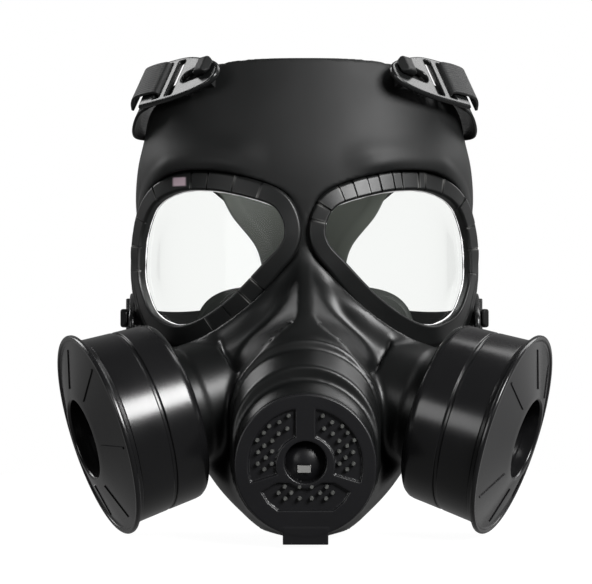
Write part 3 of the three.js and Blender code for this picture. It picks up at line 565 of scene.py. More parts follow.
# Eye rims
# Thick black rubber rims, one moulding each, pressed over the lenses. Their faces are cut across into blocks, as
# moulded rims of the kind are, and each block stands a little higher or lower than the next.

RIM_HEIGHT, RIM_FOOT = 5.2, -0.6

# Where the cuts lie, in degrees about the middle of the opening, up from the outer side; the cut's width and depth,
# and how much the block after it stands up
RIM_CUTS_RIGHT = [
    (-12, 0.8, 0.5, 0.0), (7, 0.8, 0.7, 0.25), (24, 0.9, 0.8, 0.1), (41, 0.9, 0.8, 0.3), (57, 0.7, 0.6, 0.05),
    (70, 0.7, 0.9, -0.25), (75, 0.7, 0.9, 0.2), (88, 0.7, 0.9, -0.1), (95, 0.7, 0.8, 0.1), (106, 0.9, 1.0, 0.25),
    (115, 0.7, 0.7, -0.15), (126, 0.9, 0.9, 0.2), (135, 0.8, 0.8, 0.0), (146, 1.0, 1.0, 0.35), (155, 0.8, 0.8, 0.0),
]
RIM_CUTS_LEFT = [
    (-10, 0.8, 0.6, 0.0), (9, 0.7, 0.5, 0.15), (29, 0.7, 0.5, 0.0), (48, 0.7, 0.6, 0.2), (75, 0.8, 0.8, 0.25),
    (88, 0.7, 0.7, 0.0), (109, 0.8, 0.7, 0.2), (129, 0.8, 0.8, -0.1), (207, 0.8, 0.8, 0.15), (230, 0.9, 0.8, 0.0),
    (256, 0.8, 0.7, 0.15), (275, 0.7, 0.6, 0.0),
]


def rounded(corners, closed=True, steps=4):
    """A section with each corner (two places and a radius) rounded, and a short flat kept beside the rounding."""
    out = []
    count = len(corners)
    for i, (*place, radius) in enumerate(corners):
        here = Vector(place)
        if radius == 0 or not closed and i in (0, count - 1):
            out.append(here)
            continue
        before = Vector(corners[i - 1][:2]) - here
        after = Vector(corners[(i + 1) % count][:2]) - here
        size = min(radius, 0.4 * before.length, 0.4 * after.length)
        start, end = here + before.normalized() * size, here + after.normalized() * size
        out.append(start + before.normalized() * 0.2 * size)
        for k in range(steps + 1):
            t = k / steps
            out.append(start * (1 - t) ** 2 + here * 2 * t * (1 - t) + end * t**2)
        out.append(end + after.normalized() * 0.2 * size)
    return np.array([list(p) for p in out])


def loft(rings, closed=True):
    """Points and faces of a skin over rings of equally many points, closed along its path or capped at its ends."""
    rings = np.asarray(rings, float)
    rows, around = rings.shape[:2]
    number = np.arange(rows * around).reshape(rows, around)
    a = number if closed else number[:-1]
    b = np.roll(number, -1, axis=0)[:len(a)]
    faces = np.stack([a, np.roll(a, -1, 1), np.roll(b, -1, 1), b], axis=-1).reshape(-1, 4).tolist()
    if not closed:
        faces += [number[0, ::-1].tolist(), number[-1].tolist()]
    return rings.reshape(-1, 3), faces


spread_x = np.linspace(-30, 105, 1200)
spread_values = eye_spread(spread_x)


def eye_point(spread, z, up):
    """A point up above the eyepiece's surface."""
    x = np.interp(spread, spread_values, spread_x)
    normal = np.stack([EYE_SLOPE + 2 * EYE_CURVE * (x - 9.3), -np.ones_like(x), np.full_like(x, EYE_LEAN)], axis=-1)
    normal /= np.linalg.norm(normal, axis=-1, keepdims=True)
    return np.stack([x, eye_surface(x, z), z], axis=-1) + normal * np.asarray(up)[..., None]


def closed_reader(values, knots, total):
    """Reads values round a closed path at places along it."""
    def at(place):
        return np.interp(np.mod(place, total), np.append(knots, total), np.append(values, values[0]))

    return at


eye_steps = np.linalg.norm(np.roll(spread_path, -1, 0) - spread_path, axis=1)
eye_knots = np.append(0, np.cumsum(eye_steps)[:-1])
eye_length = eye_steps.sum()
spread_along, height_along = (closed_reader(spread_path[:, k], eye_knots, eye_length) for k in (0, 1))
rim_along = closed_reader(eye_path[:, 2], eye_knots, eye_length)


def eye_band(section, stations, lift=0, squeeze=0):
    """Rings of points round the eye: rows of (out of the opening, up), out as a share of the rim's width past 0."""
    spread, height = spread_along(stations), height_along(stations)
    ds = spread_along(stations + 0.6) - spread_along(stations - 0.6)
    dh = height_along(stations + 0.6) - height_along(stations - 0.6)
    size = np.hypot(ds, dh)
    out_s, out_h = -dh / size, ds / size
    fall = 2.6 * fade(-10, -30, height)
    rings = []
    for out, up in section:
        wide = out * rim_along(stations) / 9.4 if out > 0 else np.full_like(stations, out)
        high = min(max((up - 1.5) / 2, 0), 1)
        wide = wide - squeeze * (1 if out > 8 and up > -0.5 else 0)
        rings.append(eye_point(spread + out_s * wide, height + out_h * wide, up + (lift - fall * max(out, 0) / 9.4) * high))
    return np.stack(rings, axis=1)


def eye_rim(cuts):
    """One rim as points and faces, on the right of the middle plane."""
    angles = np.unwrap(np.arctan2(height_along(eye_knots) + 13.4, np.interp(spread_path[:, 0], spread_values, spread_x) - 44))
    order = np.argsort(angles)
    middles = []
    for angle, width, depth, block in cuts:
        turn = np.radians(angle)
        turn = angles.min() + np.mod(turn - angles.min(), 2 * np.pi)
        middles.append((np.interp(turn, angles[order], eye_knots[order]), width, depth, block))
    middles.sort()
    stations = list(np.arange(0, eye_length, eye_length / 380))
    for middle, width, *_ in middles:
        for side in (-1, 1):
            stations += [middle + side * (width / 2 + extra) for extra in (-0.12, 0.0, 0.12, 0.3)]
    stations = np.unique(np.mod(stations, eye_length))
    stations = stations[np.append(True, np.diff(stations) > 0.03)]
    lift = np.zeros(len(stations))
    squeeze = np.zeros(len(stations))
    places = np.array([m[0] for m in middles])
    block_at = np.array([m[3] for m in middles])[np.searchsorted(places, stations) - 1]
    lift += block_at
    squeeze -= 0.6 * block_at
    for middle, width, depth, _ in middles:
        gap = np.abs(np.mod(stations - middle + eye_length / 2, eye_length) - eye_length / 2)
        cut = 1 - fade(width / 2 - 0.1, width / 2 + 0.12, gap)
        lift = lift * (1 - cut) - depth * cut
        squeeze = squeeze * (1 - cut) + 0.45 * depth * cut
    section = rounded([
        (0.0, RIM_FOOT, 0), (0.0, 4.0, 0.6), (0.8, 5.3, 0.6), (8.4, RIM_HEIGHT - 0.9, 0.9), (9.4, 3.4, 0.9),
        (9.4, RIM_FOOT, 0),
    ])
    front = (section[:, 1] > 3.7).astype(float)
    # Where the painted highlight goes: pale glints on the rim's face beside each cut, along part of its width.
    scuff_and_glint = np.zeros((len(stations), len(section)))
    for number, (middle, width, *_) in enumerate(middles):
        gap = np.abs(np.mod(stations - middle + eye_length / 2, eye_length) - eye_length / 2)
        start, end = ((0.1, 0.75), (0.3, 1.0), (0.45, 0.95), (0.0, 0.5))[number % 4]
        along = (section[:, 0] / 9.4 > start) & (section[:, 0] / 9.4 < end)
        scuff_and_glint += ((1 - fade(width / 2, width / 2 + 0.4, gap))[:, None]) * (front * along)[None, :]
    return loft(eye_band(section, stations, lift, squeeze)), scuff_and_glint.ravel()


def mirrored(part):
    points, faces = part
    return np.asarray(points) * (-1, 1, 1), [f[::-1] for f in (faces.tolist() if isinstance(faces, np.ndarray) else faces)]


# Moulded rubber: blacker than the vinyl. Pale glints are painted on the cuts' edges in places, a painted highlight,
# and one block of the left rim has a pinkish-white patch.
rubber, tree = new_material("moulded_rubber")
place = add_node(tree, "ShaderNodeTexCoord").outputs["Object"]
cloud = add_node(tree, "ShaderNodeTexNoise", Vector=place, Scale=60.0, Detail=4.0)
grit = add_node(tree, "ShaderNodeTexNoise", Vector=place, Scale=1400.0, Detail=2.0)
tone = add_node(tree, "ShaderNodeMix", {"data_type": "RGBA"}, Factor=cloud.outputs["Fac"], A=linear("0d0e0e"), B=linear("141515"))
dull = add_node(tree, "ShaderNodeMapRange", Value=cloud.outputs["Fac"], To_Min=0.34, To_Max=0.46)
skin = add_node(tree, "ShaderNodeBump", Strength=0.15, Distance=0.0001, Height=grit.outputs["Fac"])
surface = add_node(
    tree, "ShaderNodeBsdfPrincipled", Base_Color=tone.outputs["Result"], Roughness=dull.outputs[0], Normal=skin.outputs[0],
    IOR=1.5,
)
painted_glints = add_node(tree, "ShaderNodeAttribute", {"attribute_name": "scuff_and_glint"}).outputs["Fac"]
patchy = add_node(tree, "ShaderNodeMapRange", Value=cloud.outputs["Fac"], From_Min=0.35, From_Max=0.6)
painted_glints = add_node(tree, "ShaderNodeMath", {"operation": "MULTIPLY"}, i0=painted_glints, i1=patchy.outputs[0])
# A pinkish-white patch on one block of the left rim, bounded by a soft-edged box.
pale_patch = add_node(tree, "ShaderNodeVectorMath", {"operation": "SUBTRACT"}, i0=place, i1=(-0.0612, 0.0, 0.0238))
pale_patch = add_node(tree, "ShaderNodeVectorMath", {"operation": "MULTIPLY"}, i0=pale_patch.outputs[0], i1=(0.85, 0.0, 1.3))
pale_patch = add_node(tree, "ShaderNodeVectorMath", {"operation": "ABSOLUTE"}, i0=pale_patch.outputs[0])
pale_patch = add_node(tree, "ShaderNodeSeparateXYZ", Vector=pale_patch.outputs[0])
pale_patch = add_node(tree, "ShaderNodeMath", {"operation": "SMOOTH_MAX"}, i0=pale_patch.outputs["X"], i1=pale_patch.outputs["Z"], i2=0.001)
pale_patch = add_node(tree, "ShaderNodeMath", {"operation": "MULTIPLY_ADD"}, i0=cloud.outputs["Fac"], i1=-0.0012, i2=pale_patch.outputs[0])
pale_patch = add_node(tree, "ShaderNodeMapRange", Value=pale_patch.outputs[0], From_Min=0.0027, From_Max=0.0018)
# Painted highlight: the glint mask turns the rubber pale grey along the cuts' edges.
glints_and_patch = add_node(tree, "ShaderNodeMix", {"data_type": "RGBA"}, Factor=painted_glints.outputs[0], A=tone.outputs["Result"], B=linear("747472"))
glints_and_patch = add_node(tree, "ShaderNodeMix", {"data_type": "RGBA"}, Factor=pale_patch.outputs[0], A=glints_and_patch.outputs["Result"], B=linear("bba6b0"))
tree.links.new(glints_and_patch.outputs["Result"], surface.inputs["Base Color"])
add_node(tree, "ShaderNodeOutputMaterial", Surface=surface.outputs[0])

for side, cuts in (("right", RIM_CUTS_RIGHT), ("left", RIM_CUTS_LEFT)):
    part, scuff_and_glint = eye_rim(cuts)
    rim = mesh_piece(f"eye_rim_{side}", [part if side == "right" else mirrored(part)], rubber, scuff_and_glint=scuff_and_glint)
    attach(rim, "root")
    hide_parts(f"eye_rim_{side}")

# Lenses
# Clear sheet, cut to the opening and held in the groove between the face piece and the rim. Its edge is frosted
# white and given a painted glow, so it shows as a thin bright line inside the rim.

LENS_TUCK, LENS_THICKNESS = 1.4, 1.5


def lens_sheet():
    stations = np.arange(0, eye_length, eye_length / 160)
    edge = eye_band([(LENS_TUCK, 0)], stations)[:, 0]
    middle = np.array([48.2, 0, -13.4])
    rings = []
    for up, sizes in ((0.0, (0, 0.2, 0.4, 0.6, 0.8, 0.97, 1)), (-LENS_THICKNESS, (1, 0.97, 0.8, 0.6, 0.4, 0.2, 0))):
        for size in sizes:
            x = middle[0] + (edge[:, 0] - middle[0]) * size
            z = middle[2] + (edge[:, 2] - middle[2]) * size
            lower = up + (0.15 if up else -0.15) * (size == 1)
            rings.append(eye_point(eye_spread(x), z, np.full_like(x, lower)))
    points, faces = loft(rings, closed=False)
    return points, faces[:-2]


def lens_edge():
    """The sheet's rough edge where it shows, a thin bead of uneven width."""
    stations = np.arange(0, eye_length, eye_length / 300)
    turns = np.radians(np.arange(0, 360, 45))
    width = 0.3 + 0.1 * np.sin(stations * 0.31 + 1) + 0.08 * np.sin(stations * 0.77)
    rings = np.stack(
        [
            eye_point(spread, height, 0.3 + 0.9 * width * np.sin(turn))
            for turn in turns
            for spread, height in [eye_offset(stations, -0.1 + width * np.cos(turn))]
        ],
        axis=1,
    )
    return loft(rings)


def eye_offset(stations, out):
    """The place a given distance outside the opening, along the surface."""
    ds = spread_along(stations + 0.6) - spread_along(stations - 0.6)
    dh = height_along(stations + 0.6) - height_along(stations - 0.6)
    size = np.hypot(ds, dh)
    return spread_along(stations) - dh / size * out, height_along(stations) + ds / size * out


# Clear polished sheet: nearly all of what is behind it comes through, and only its glancing parts mirror the studio.
clear, tree = new_material("clear_sheet")
rim_light = add_node(tree, "ShaderNodeFresnel", IOR=1.45)
through = add_node(tree, "ShaderNodeBsdfTransparent", Color=linear("fbfcfb"))
mirror = add_node(tree, "ShaderNodeBsdfGlossy", Color=linear("ffffff"), Roughness=0.03)
faint = add_node(tree, "ShaderNodeMath", {"operation": "MULTIPLY"}, i0=rim_light.outputs[0], i1=0.15)
sheet = add_node(tree, "ShaderNodeMixShader", i0=faint.outputs[0], i1=through.outputs[0], i2=mirror.outputs[0])
add_node(tree, "ShaderNodeOutputMaterial", Surface=sheet.outputs[0])

# The sheet's edge: frosted white, with a painted glow standing in for the light it would gather.
glowing_edge, tree = new_material("sheet_edge_painted_glow")
surface = add_node(
    tree, "ShaderNodeBsdfPrincipled", Base_Color=linear("fafafa"), Roughness=0.35, Emission_Color=linear("ffffff"),
    Emission_Strength=0.35,
)
add_node(tree, "ShaderNodeOutputMaterial", Surface=surface.outputs[0])

for side in ("right", "left"):
    parts = [lens_sheet(), lens_edge()]
    if side == "left":
        parts = [mirrored(part) for part in parts]
    lens = mesh_piece(f"lens_{side}", parts, clear, glowing_edge)
    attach(lens, "root")
    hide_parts(f"lens_{side}")

# Voice cap
# A round cap of hard plastic on the muzzle, with three recessed pockets of short pins, a hole in its middle with a
# domed valve seat behind it, and a tab below. One moulding; the pins are moulded on the pockets' floors.

CAP_RADIUS, CAP_THICKNESS, CAP_FACE_Y = 32.2, 4.4, -58.0
POCKETS = [(-17, 80, 13.6), (100, 197, 13.6)]  # from and to in degrees, inner radius
# The lower pocket: across, up from the disc's middle
LOW_POCKET = [(19.8, -12), (17, -16.5), (12.5, -20.2), (-12.5, -20.2), (-17, -16.5), (-19.8, -12), (-13, -8), (13, -8)]
POCKET_OUTER, POCKET_DEPTH, SPOKE_WIDTH = 25.7, 1.8, 9.4
# Half of the pins: across from the middle plane, up from the disc's middle
PINS = [
    (7.7, 22.3), (11.9, 19.4), (16.5, 17.6), (8.3, 16.5), (12.2, 14.2), (18.9, 14.6), (21.9, 11.3), (15.1, 11.0),
    (18.7, 8.8), (15.1, 6.3), (21.4, 5.9), (18.0, 3.4), (15.3, 0.7), (21.6, 0.7), (18.7, -1.8), (2.7, -9.7),
    (9.5, -9.7), (6.5, -12.4), (12.2, -12.4), (2.7, -14.9), (9.2, -15.0),
]


def voice_cap(x, y, z):
    up = z - CAP_CENTRE_Z
    off = np.hypot(x, up)
    back = y - CAP_FACE_Y
    slab = np.abs(back - CAP_THICKNESS / 2) - CAP_THICKNESS / 2
    disc = smooth_cut(off - CAP_RADIUS, slab, 0.9)
    tab = smooth_cut(np.maximum(np.abs(x) - 10.3, np.maximum(-up - 35.8, up + 28)), slab, 0.6)
    body = smooth_join(disc, tab, 0.5)
    for start, end, inner in POCKETS:
        middle, half = math.radians((start + end) / 2), math.radians((end - start) / 2)
        turn = np.abs(np.mod(np.arctan2(up, x) - middle + math.pi, 2 * math.pi) - math.pi) - half
        pocket = smooth_cut(off - POCKET_OUTER, inner - off, 0.6)
        pocket = smooth_cut(pocket, turn * off, 0.6)
        pocket = smooth_cut(pocket, SPOKE_WIDTH / 2 - np.abs(x), 0.5)
        body = smooth_cut(body, -np.maximum(pocket, back - POCKET_DEPTH), 0.8)
    pocket = smooth_cut(path_distance(x, up, LOW_POCKET)[0], 10.6 - off, 0.6)
    body = smooth_cut(body, -np.maximum(pocket, back - POCKET_DEPTH), 0.8)
    eye = np.hypot(x, up - 1.4)
    tube = np.maximum(np.abs(eye - 10.5) - 1.0, np.maximum(1 - back, back - 10.5))
    body = smooth_join(body, tube, 0.4)
    body = smooth_cut(body, -(eye - 9.5), 0.7)
    far = np.sqrt(x**2 + (up - 1.4) ** 2 + (back - 19.5) ** 2)
    dome = np.maximum(np.abs(far - 14.3) - 0.7, np.maximum(eye - 10.5, back - 11.5))
    slot = np.maximum(np.abs(x + 0.6) - 3.1, np.abs(up + 2.0) - 1.7)
    return np.minimum(body, np.maximum(dome, -slot))


def grow(name, points, turns, kind, sizes):
    """One small form on each point, turned as given: a node tree with named inputs, run and turned to a plain mesh."""
    tree = bpy.data.node_groups.new(name, "GeometryNodeTree")
    tree.interface.new_socket("Geometry", in_out="INPUT", socket_type="NodeSocketGeometry")
    for label in sizes:
        tree.interface.new_socket(label, in_out="INPUT", socket_type="NodeSocketFloat")
    tree.interface.new_socket("Material", in_out="INPUT", socket_type="NodeSocketMaterial")
    tree.interface.new_socket("Geometry", in_out="OUTPUT", socket_type="NodeSocketGeometry")
    given = add_node(tree, "NodeGroupInput").outputs
    turn = add_node(tree, "GeometryNodeInputNamedAttribute", {"data_type": "FLOAT_VECTOR"}, Name="turn").outputs[0]
    if kind == "pin":
        form = add_node(
            tree, "GeometryNodeMeshCone", Vertices=10, Side_Segments=2, Radius_Top=given["Tip radius"],
            Radius_Bottom=given["Foot radius"], Depth=given["Length"],
        ).outputs[0]
    else:
        size = add_node(tree, "ShaderNodeCombineXYZ", X=given["Length"], Y=given["Width"], Z=given["Height"])
        form = add_node(tree, "GeometryNodeMeshCube", Size=size.outputs[0], Vertices_X=3, Vertices_Y=3, Vertices_Z=3).outputs[0]
    many = add_node(
        tree, "GeometryNodeInstanceOnPoints", Points=given["Geometry"], Instance=form, Rotation=turn,
    ).outputs[0]
    plain = add_node(tree, "GeometryNodeRealizeInstances", Geometry=many).outputs[0]
    painted = add_node(tree, "GeometryNodeSetMaterial", Geometry=plain, Material=given["Material"]).outputs[0]
    add_node(tree, "NodeGroupOutput", Geometry=painted)
    holder_mesh = bpy.data.meshes.new(name)
    holder_mesh.from_pydata((np.asarray(points) / 1000).tolist(), [], [])
    attribute = holder_mesh.attributes.new("turn", "FLOAT_VECTOR", "POINT")
    attribute.data.foreach_set("vector", np.asarray(turns, np.float32).ravel())
    holder = bpy.data.objects.new(name, holder_mesh)
    bpy.context.collection.objects.link(holder)
    modifier = holder.modifiers.new("grow", "NODES")
    modifier.node_group = tree
    for item in tree.interface.items_tree:
        if item.in_out == "INPUT" and item.name in sizes:
            modifier[item.identifier] = sizes[item.name] / 1000
    evaluated = holder.evaluated_get(bpy.context.evaluated_depsgraph_get())
    mesh = bpy.data.meshes.new_from_object(evaluated)
    spots = np.array([v.co[:] for v in mesh.vertices]) * 1000
    faces = [list(p.vertices) for p in mesh.polygons]
    holder.modifiers.clear()
    bpy.data.objects.remove(holder)
    bpy.data.meshes.remove(mesh)
    return spots, faces


cap_points, cap_faces = skin_form(voice_cap, (-34, -58.8, -145.0), (34, -46, -75.2), 0.45)
pin_points = [(side * x, CAP_FACE_Y + POCKET_DEPTH - 0.8, CAP_CENTRE_Z + up) for side in (-1, 1) for x, up in PINS]
pins = grow(
    "voice_cap_pins", pin_points, [(math.radians(90), 0, 0)] * len(pin_points), "pin",
    {"Tip radius": 0.7, "Foot radius": 1.1, "Length": 2.0},
)

# Hard moulded plastic: dark grey, satin, and finely speckled as textured tooling leaves it.
cap_plastic, tree = new_material("moulded_abs")
place = add_node(tree, "ShaderNodeTexCoord").outputs["Object"]
cloud = add_node(tree, "ShaderNodeTexNoise", Vector=place, Scale=50.0, Detail=3.0)
speck = add_node(tree, "ShaderNodeTexNoise", Vector=place, Scale=2200.0, Detail=1.0)
tone = add_node(tree, "ShaderNodeMix", {"data_type": "RGBA"}, Factor=cloud.outputs["Fac"], A=linear("121214"), B=linear("18181a"))
dull = add_node(tree, "ShaderNodeMapRange", Value=speck.outputs["Fac"], To_Min=0.28, To_Max=0.38)
skin = add_node(tree, "ShaderNodeBump", Strength=0.2, Distance=0.00006, Height=speck.outputs["Fac"])
surface = add_node(
    tree, "ShaderNodeBsdfPrincipled", Base_Color=tone.outputs["Result"], Roughness=dull.outputs[0], Normal=skin.outputs[0],
    IOR=1.5,
)
add_node(tree, "ShaderNodeOutputMaterial", Surface=surface.outputs[0])

# The flap in the dome's slot: a plain pale grey, a little mottled.
flap_plastic, tree = new_material("pale_flap_grey")
place = add_node(tree, "ShaderNodeTexCoord").outputs["Object"]
cloud = add_node(tree, "ShaderNodeTexNoise", Vector=place, Scale=300.0, Detail=2.0)
tone = add_node(tree, "ShaderNodeMix", {"data_type": "RGBA"}, Factor=cloud.outputs["Fac"], A=linear("7c7c7a"), B=linear("888886"))
surface = add_node(tree, "ShaderNodeBsdfPrincipled", Base_Color=tone.outputs["Result"], Roughness=0.5)
add_node(tree, "ShaderNodeOutputMaterial", Surface=surface.outputs[0])

# The pins: the same plastic, mottled pale grey; the paleness is partly a painted highlight for the light that catches
# them.
pin_plastic, tree = new_material("abs_painted_pale")
place = add_node(tree, "ShaderNodeTexCoord").outputs["Object"]
pin_mottle = add_node(tree, "ShaderNodeTexNoise", Vector=place, Scale=420.0, Detail=1.0)
tone = add_node(tree, "ShaderNodeMix", {"data_type": "RGBA"}, Factor=pin_mottle.outputs["Fac"], A=linear("3a3b3a"), B=linear("686966"))
surface = add_node(tree, "ShaderNodeBsdfPrincipled", Base_Color=tone.outputs["Result"], Roughness=0.3)
add_node(tree, "ShaderNodeOutputMaterial", Surface=surface.outputs[0])

flap = rounded([(-3.0, -1.6, 0.4), (3.0, -1.6, 0.4), (3.0, 1.6, 0.4), (-3.0, 1.6, 0.4)])
flap = loft([[(x - 0.6, y, z + CAP_CENTRE_Z - 2.0) for x, z in flap] for y in (-53.6, -51.5)], closed=False)
cap = mesh_piece("voice_cap", [(cap_points, cap_faces), pins, flap], cap_plastic, pin_plastic, flap_plastic)
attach(cap, "root")
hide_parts("voice_cap")

# Inner nose cup
# A soft rubber cup that covers nose and mouth, on a neck in the muzzle's bore, with a rolled edge at its rim.
# Moulded in one; its upper edge is seen through both lenses.

CUP_NECK_RADIUS, CUP_NECK_Y, CUP_FLARE_Y, CUP_RIM_Y = 27.2, -45.6, -25.6, 30.0
CUP_HALF_WIDTH, CUP_TOP_Z, CUP_BOTTOM_Z, CUP_LEAN, CUP_WALL = 55.0, -27.0, -118.0, 0.13, 2.0
cup_share_at = smooth_column([0, 0.4, 0.7, 0.88, 1.0], [0, 0.24, 0.56, 0.88, 1.0])


def cup_ring(along, inset):
    """Points round the cup: along runs from below nought on the neck to 1 at the rim."""
    turn = np.linspace(0, 2 * np.pi, 96, endpoint=False)
    c, s = np.cos(turn), np.sin(turn)
    middle, half = (CUP_TOP_Z + CUP_BOTTOM_Z) / 2, (CUP_TOP_Z - CUP_BOTTOM_Z) / 2
    squarer = 2 / np.where(s > 0, 4.5, 2.6)
    wide_x = (CUP_HALF_WIDTH - inset) * np.sign(c) * np.abs(c) ** squarer
    wide_z = middle + (half - inset) * np.sign(s) * np.abs(s) ** squarer
    share = cup_share_at(max(along, 0))
    x = (CUP_NECK_RADIUS - inset) * c * (1 - share) + wide_x * share
    z = (CAP_CENTRE_Z + (CUP_NECK_RADIUS - inset) * s) * (1 - share) + wide_z * share
    y = CUP_FLARE_Y + along * (CUP_RIM_Y - CUP_FLARE_Y) + share * CUP_LEAN * (z - middle)
    return np.stack([x, y, z], axis=-1)


cup_alongs = np.append([-0.35, -0.2], np.linspace(0, 1, 26))
edge_turns = np.radians([-60, -20, 20, 60, 100, 140, 180, 220])
cup_rings = [cup_ring(a, 0) for a in cup_alongs[:-1]]
cup_rings += [cup_ring(0.98 + 0.026 * math.sin(t), 1.0 - 1.9 * math.cos(t)) for t in edge_turns]
cup_rings += [cup_ring(a, CUP_WALL) for a in cup_alongs[-2::-1]]

# Soft rubber, the same black as the face piece but dusty, so its rolled edge shows paler.
soft_rubber, tree = new_material("dusted_rubber")
place = add_node(tree, "ShaderNodeTexCoord").outputs["Object"]
cloud = add_node(tree, "ShaderNodeTexNoise", Vector=place, Scale=45.0, Detail=4.0)
tone = add_node(tree, "ShaderNodeMix", {"data_type": "RGBA"}, Factor=cloud.outputs["Fac"], A=linear("2a2c2a"), B=linear("343634"))
skin = add_node(tree, "ShaderNodeBump", Strength=0.2, Distance=0.0003, Height=cloud.outputs["Fac"])
surface = add_node(
    tree, "ShaderNodeBsdfPrincipled", Base_Color=tone.outputs["Result"], Roughness=0.55, Normal=skin.outputs[0], IOR=1.5,
)
add_node(tree, "ShaderNodeOutputMaterial", Surface=surface.outputs[0])
cup = mesh_piece("inner_nose_cup", [loft(cup_rings)], soft_rubber)
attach(cup, "root")
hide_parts("inner_nose_cup")

# Filter drums
# A hollow moulded drum on each cheek, glossy black, with a seam groove round its middle and stretches of a raised
# bead beside it, where its two halves are welded.

DRUM_FRONT_RADIUS, DRUM_BACK_RADIUS, DRUM_WALL, SEAM_AT = 45.0, 43.0, 2.4, -20.0


def drum_axes(side):
    """The drum's outward axis, the way round to the mask's outer side, and up, as rows."""
    axis = DRUM_AXIS * (side, 1, 1)
    across = np.cross(axis, (0, 0, 1)) * side
    across /= np.linalg.norm(across)
    up = np.cross(axis, across)
    return axis, across, up * np.sign(up[2])


def turned(profile, side, count=192, turns=None):
    """A profile of (radius, height above the flange) turned about a drum's axis, all round or along some turns."""
    axis, across, up = drum_axes(side)
    closed = turns is None
    turns = np.linspace(0, 2 * np.pi, count, endpoint=False) if closed else turns
    rings = []
    for turn in turns:
        radial = up * math.cos(turn) + across * math.sin(turn)
        rings.append(DRUM_CENTRE * (side, 1, 1) + profile[:, :1] * radial + profile[:, 1:] * axis)
    return loft(rings, closed=closed)


def drum_radius(height):
    return DRUM_BACK_RADIUS + (DRUM_FRONT_RADIUS - DRUM_BACK_RADIUS) * (height + DRUM_DEPTH) / DRUM_DEPTH


drum_profile = rounded([
    (11.2, -DRUM_DEPTH, 0.3), (DRUM_BACK_RADIUS, -DRUM_DEPTH, 4.2), (drum_radius(SEAM_AT - 1.0), SEAM_AT - 1.0, 0.4),
    (drum_radius(SEAM_AT) - 1.0, SEAM_AT - 0.8, 0.3), (drum_radius(SEAM_AT) - 1.0, SEAM_AT + 0.6, 0.3),
    (drum_radius(SEAM_AT + 0.9), SEAM_AT + 0.9, 0.4), (DRUM_FRONT_RADIUS, -3.2, 0.3), (DRUM_FRONT_RADIUS - 4.2, -3.2, 0.3),
    (DRUM_BACK_RADIUS - DRUM_WALL, 2.4 - DRUM_DEPTH, 3.0), (11.2, 2.4 - DRUM_DEPTH, 0.3),
])

# Stretches of raised bead beside the seam: from and to in degrees from the top towards the mask's front, and place
BEADS = {"left": [(-118, -66, 1.9), (-152, -128, 1.6)], "right": [(-62, -18, 1.8), (-112, -76, -1.9)]}

# Glossy moulded plastic with a faint swell, so the softboxes' reflections break up a little along it.
drum_plastic, tree = new_material("glossy_polystyrene")
place = add_node(tree, "ShaderNodeTexCoord").outputs["Object"]
swell = add_node(tree, "ShaderNodeTexNoise", Vector=place, Scale=26.0, Detail=2.0)
scuff_and_glint = add_node(tree, "ShaderNodeTexNoise", Vector=place, Scale=70.0, Detail=2.0)
tone = add_node(tree, "ShaderNodeMix", {"data_type": "RGBA"}, Factor=swell.outputs["Fac"], A=linear("141415"), B=linear("1a1a1b"))
gloss = add_node(tree, "ShaderNodeMapRange", Value=scuff_and_glint.outputs["Fac"], To_Min=0.17, To_Max=0.27)
wavy = add_node(tree, "ShaderNodeBump", Strength=0.3, Distance=0.0006, Height=swell.outputs["Fac"])
surface = add_node(
    tree, "ShaderNodeBsdfPrincipled", Base_Color=tone.outputs["Result"], Roughness=gloss.outputs[0], Normal=wavy.outputs[0],
    IOR=1.55,
)
add_node(tree, "ShaderNodeOutputMaterial", Surface=surface.outputs[0])

for side, sign in (("right", 1), ("left", -1)):
    parts = [turned(drum_profile, sign)]
    for start, end, place_along in BEADS[side]:
        height = SEAM_AT + place_along
        bead = rounded([(drum_radius(height) - 0.5, height - 1.0, 0), (drum_radius(height) + 0.55, height - 0.8, 0.5),
                        (drum_radius(height) + 0.55, height + 0.8, 0.5), (drum_radius(height) - 0.5, height + 1.0, 0)])
        parts.append(turned(bead, sign, turns=np.radians(np.linspace(start, end, 40))))
    drum = mesh_piece(f"filter_drum_{side}", parts, drum_plastic)
    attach(drum, "root")
    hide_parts(f"filter_drum_{side}")

# Filter covers
# The drum's front: a rolled flange, a low cone with raised lines, and the intake, a deep round well in its middle.
# Snapped over the drum's front edge.

cover_profile = rounded([
    (0.0, -10.0, 0), (0.0, -8.4, 0), (18.6, -8.4, 0.6), (18.9, 7.2, 0.5), (19.9, 8.1, 0.5), (22.2, 7.6, 0.8),
    (46.0, 0.9, 0.6), (46.8, 1.9, 0.5), (48.1, 1.9, 0.6), (48.8, 1.1, 0.6), (48.6, -0.4, 0.5), (46.4, -0.8, 0.5),
    (45.9, -2.9, 0.3), (45.3, -2.9, 0.2), (45.3, -0.4, 0.3), (41.0, 0.2, 0.4), (21.0, 5.4, 0.4), (20.6, -10.0, 0.6),
], closed=False)
COVER_LINES = {"left": [-9, 38, 94, 155, -163, -113, -60], "right": [3, -38, -140, 177, 130, 50]}


def cover_lines(side, sign):
    """Raised lines on the cone, one small bar each."""
    axis, across, up = drum_axes(sign)
    fall = math.atan2(6.4, 22.4)
    points, turns = [], []
    for degrees in COVER_LINES[side]:
        turn = math.radians(degrees)
        radial = up * math.cos(turn) + across * math.sin(turn)
        normal = axis * math.cos(fall) + radial * math.sin(fall)
        along = radial * math.cos(fall) - axis * math.sin(fall)
        points.append(DRUM_CENTRE * (sign, 1, 1) + radial * 33.5 + axis * 4.5)
        basis = Matrix([along, np.cross(normal, along), normal]).transposed()
        turns.append(basis.to_euler()[:])
    return grow(f"cover_lines_{side}", points, turns, "bar", {"Length": 18.5, "Width": 1.0, "Height": 0.8})


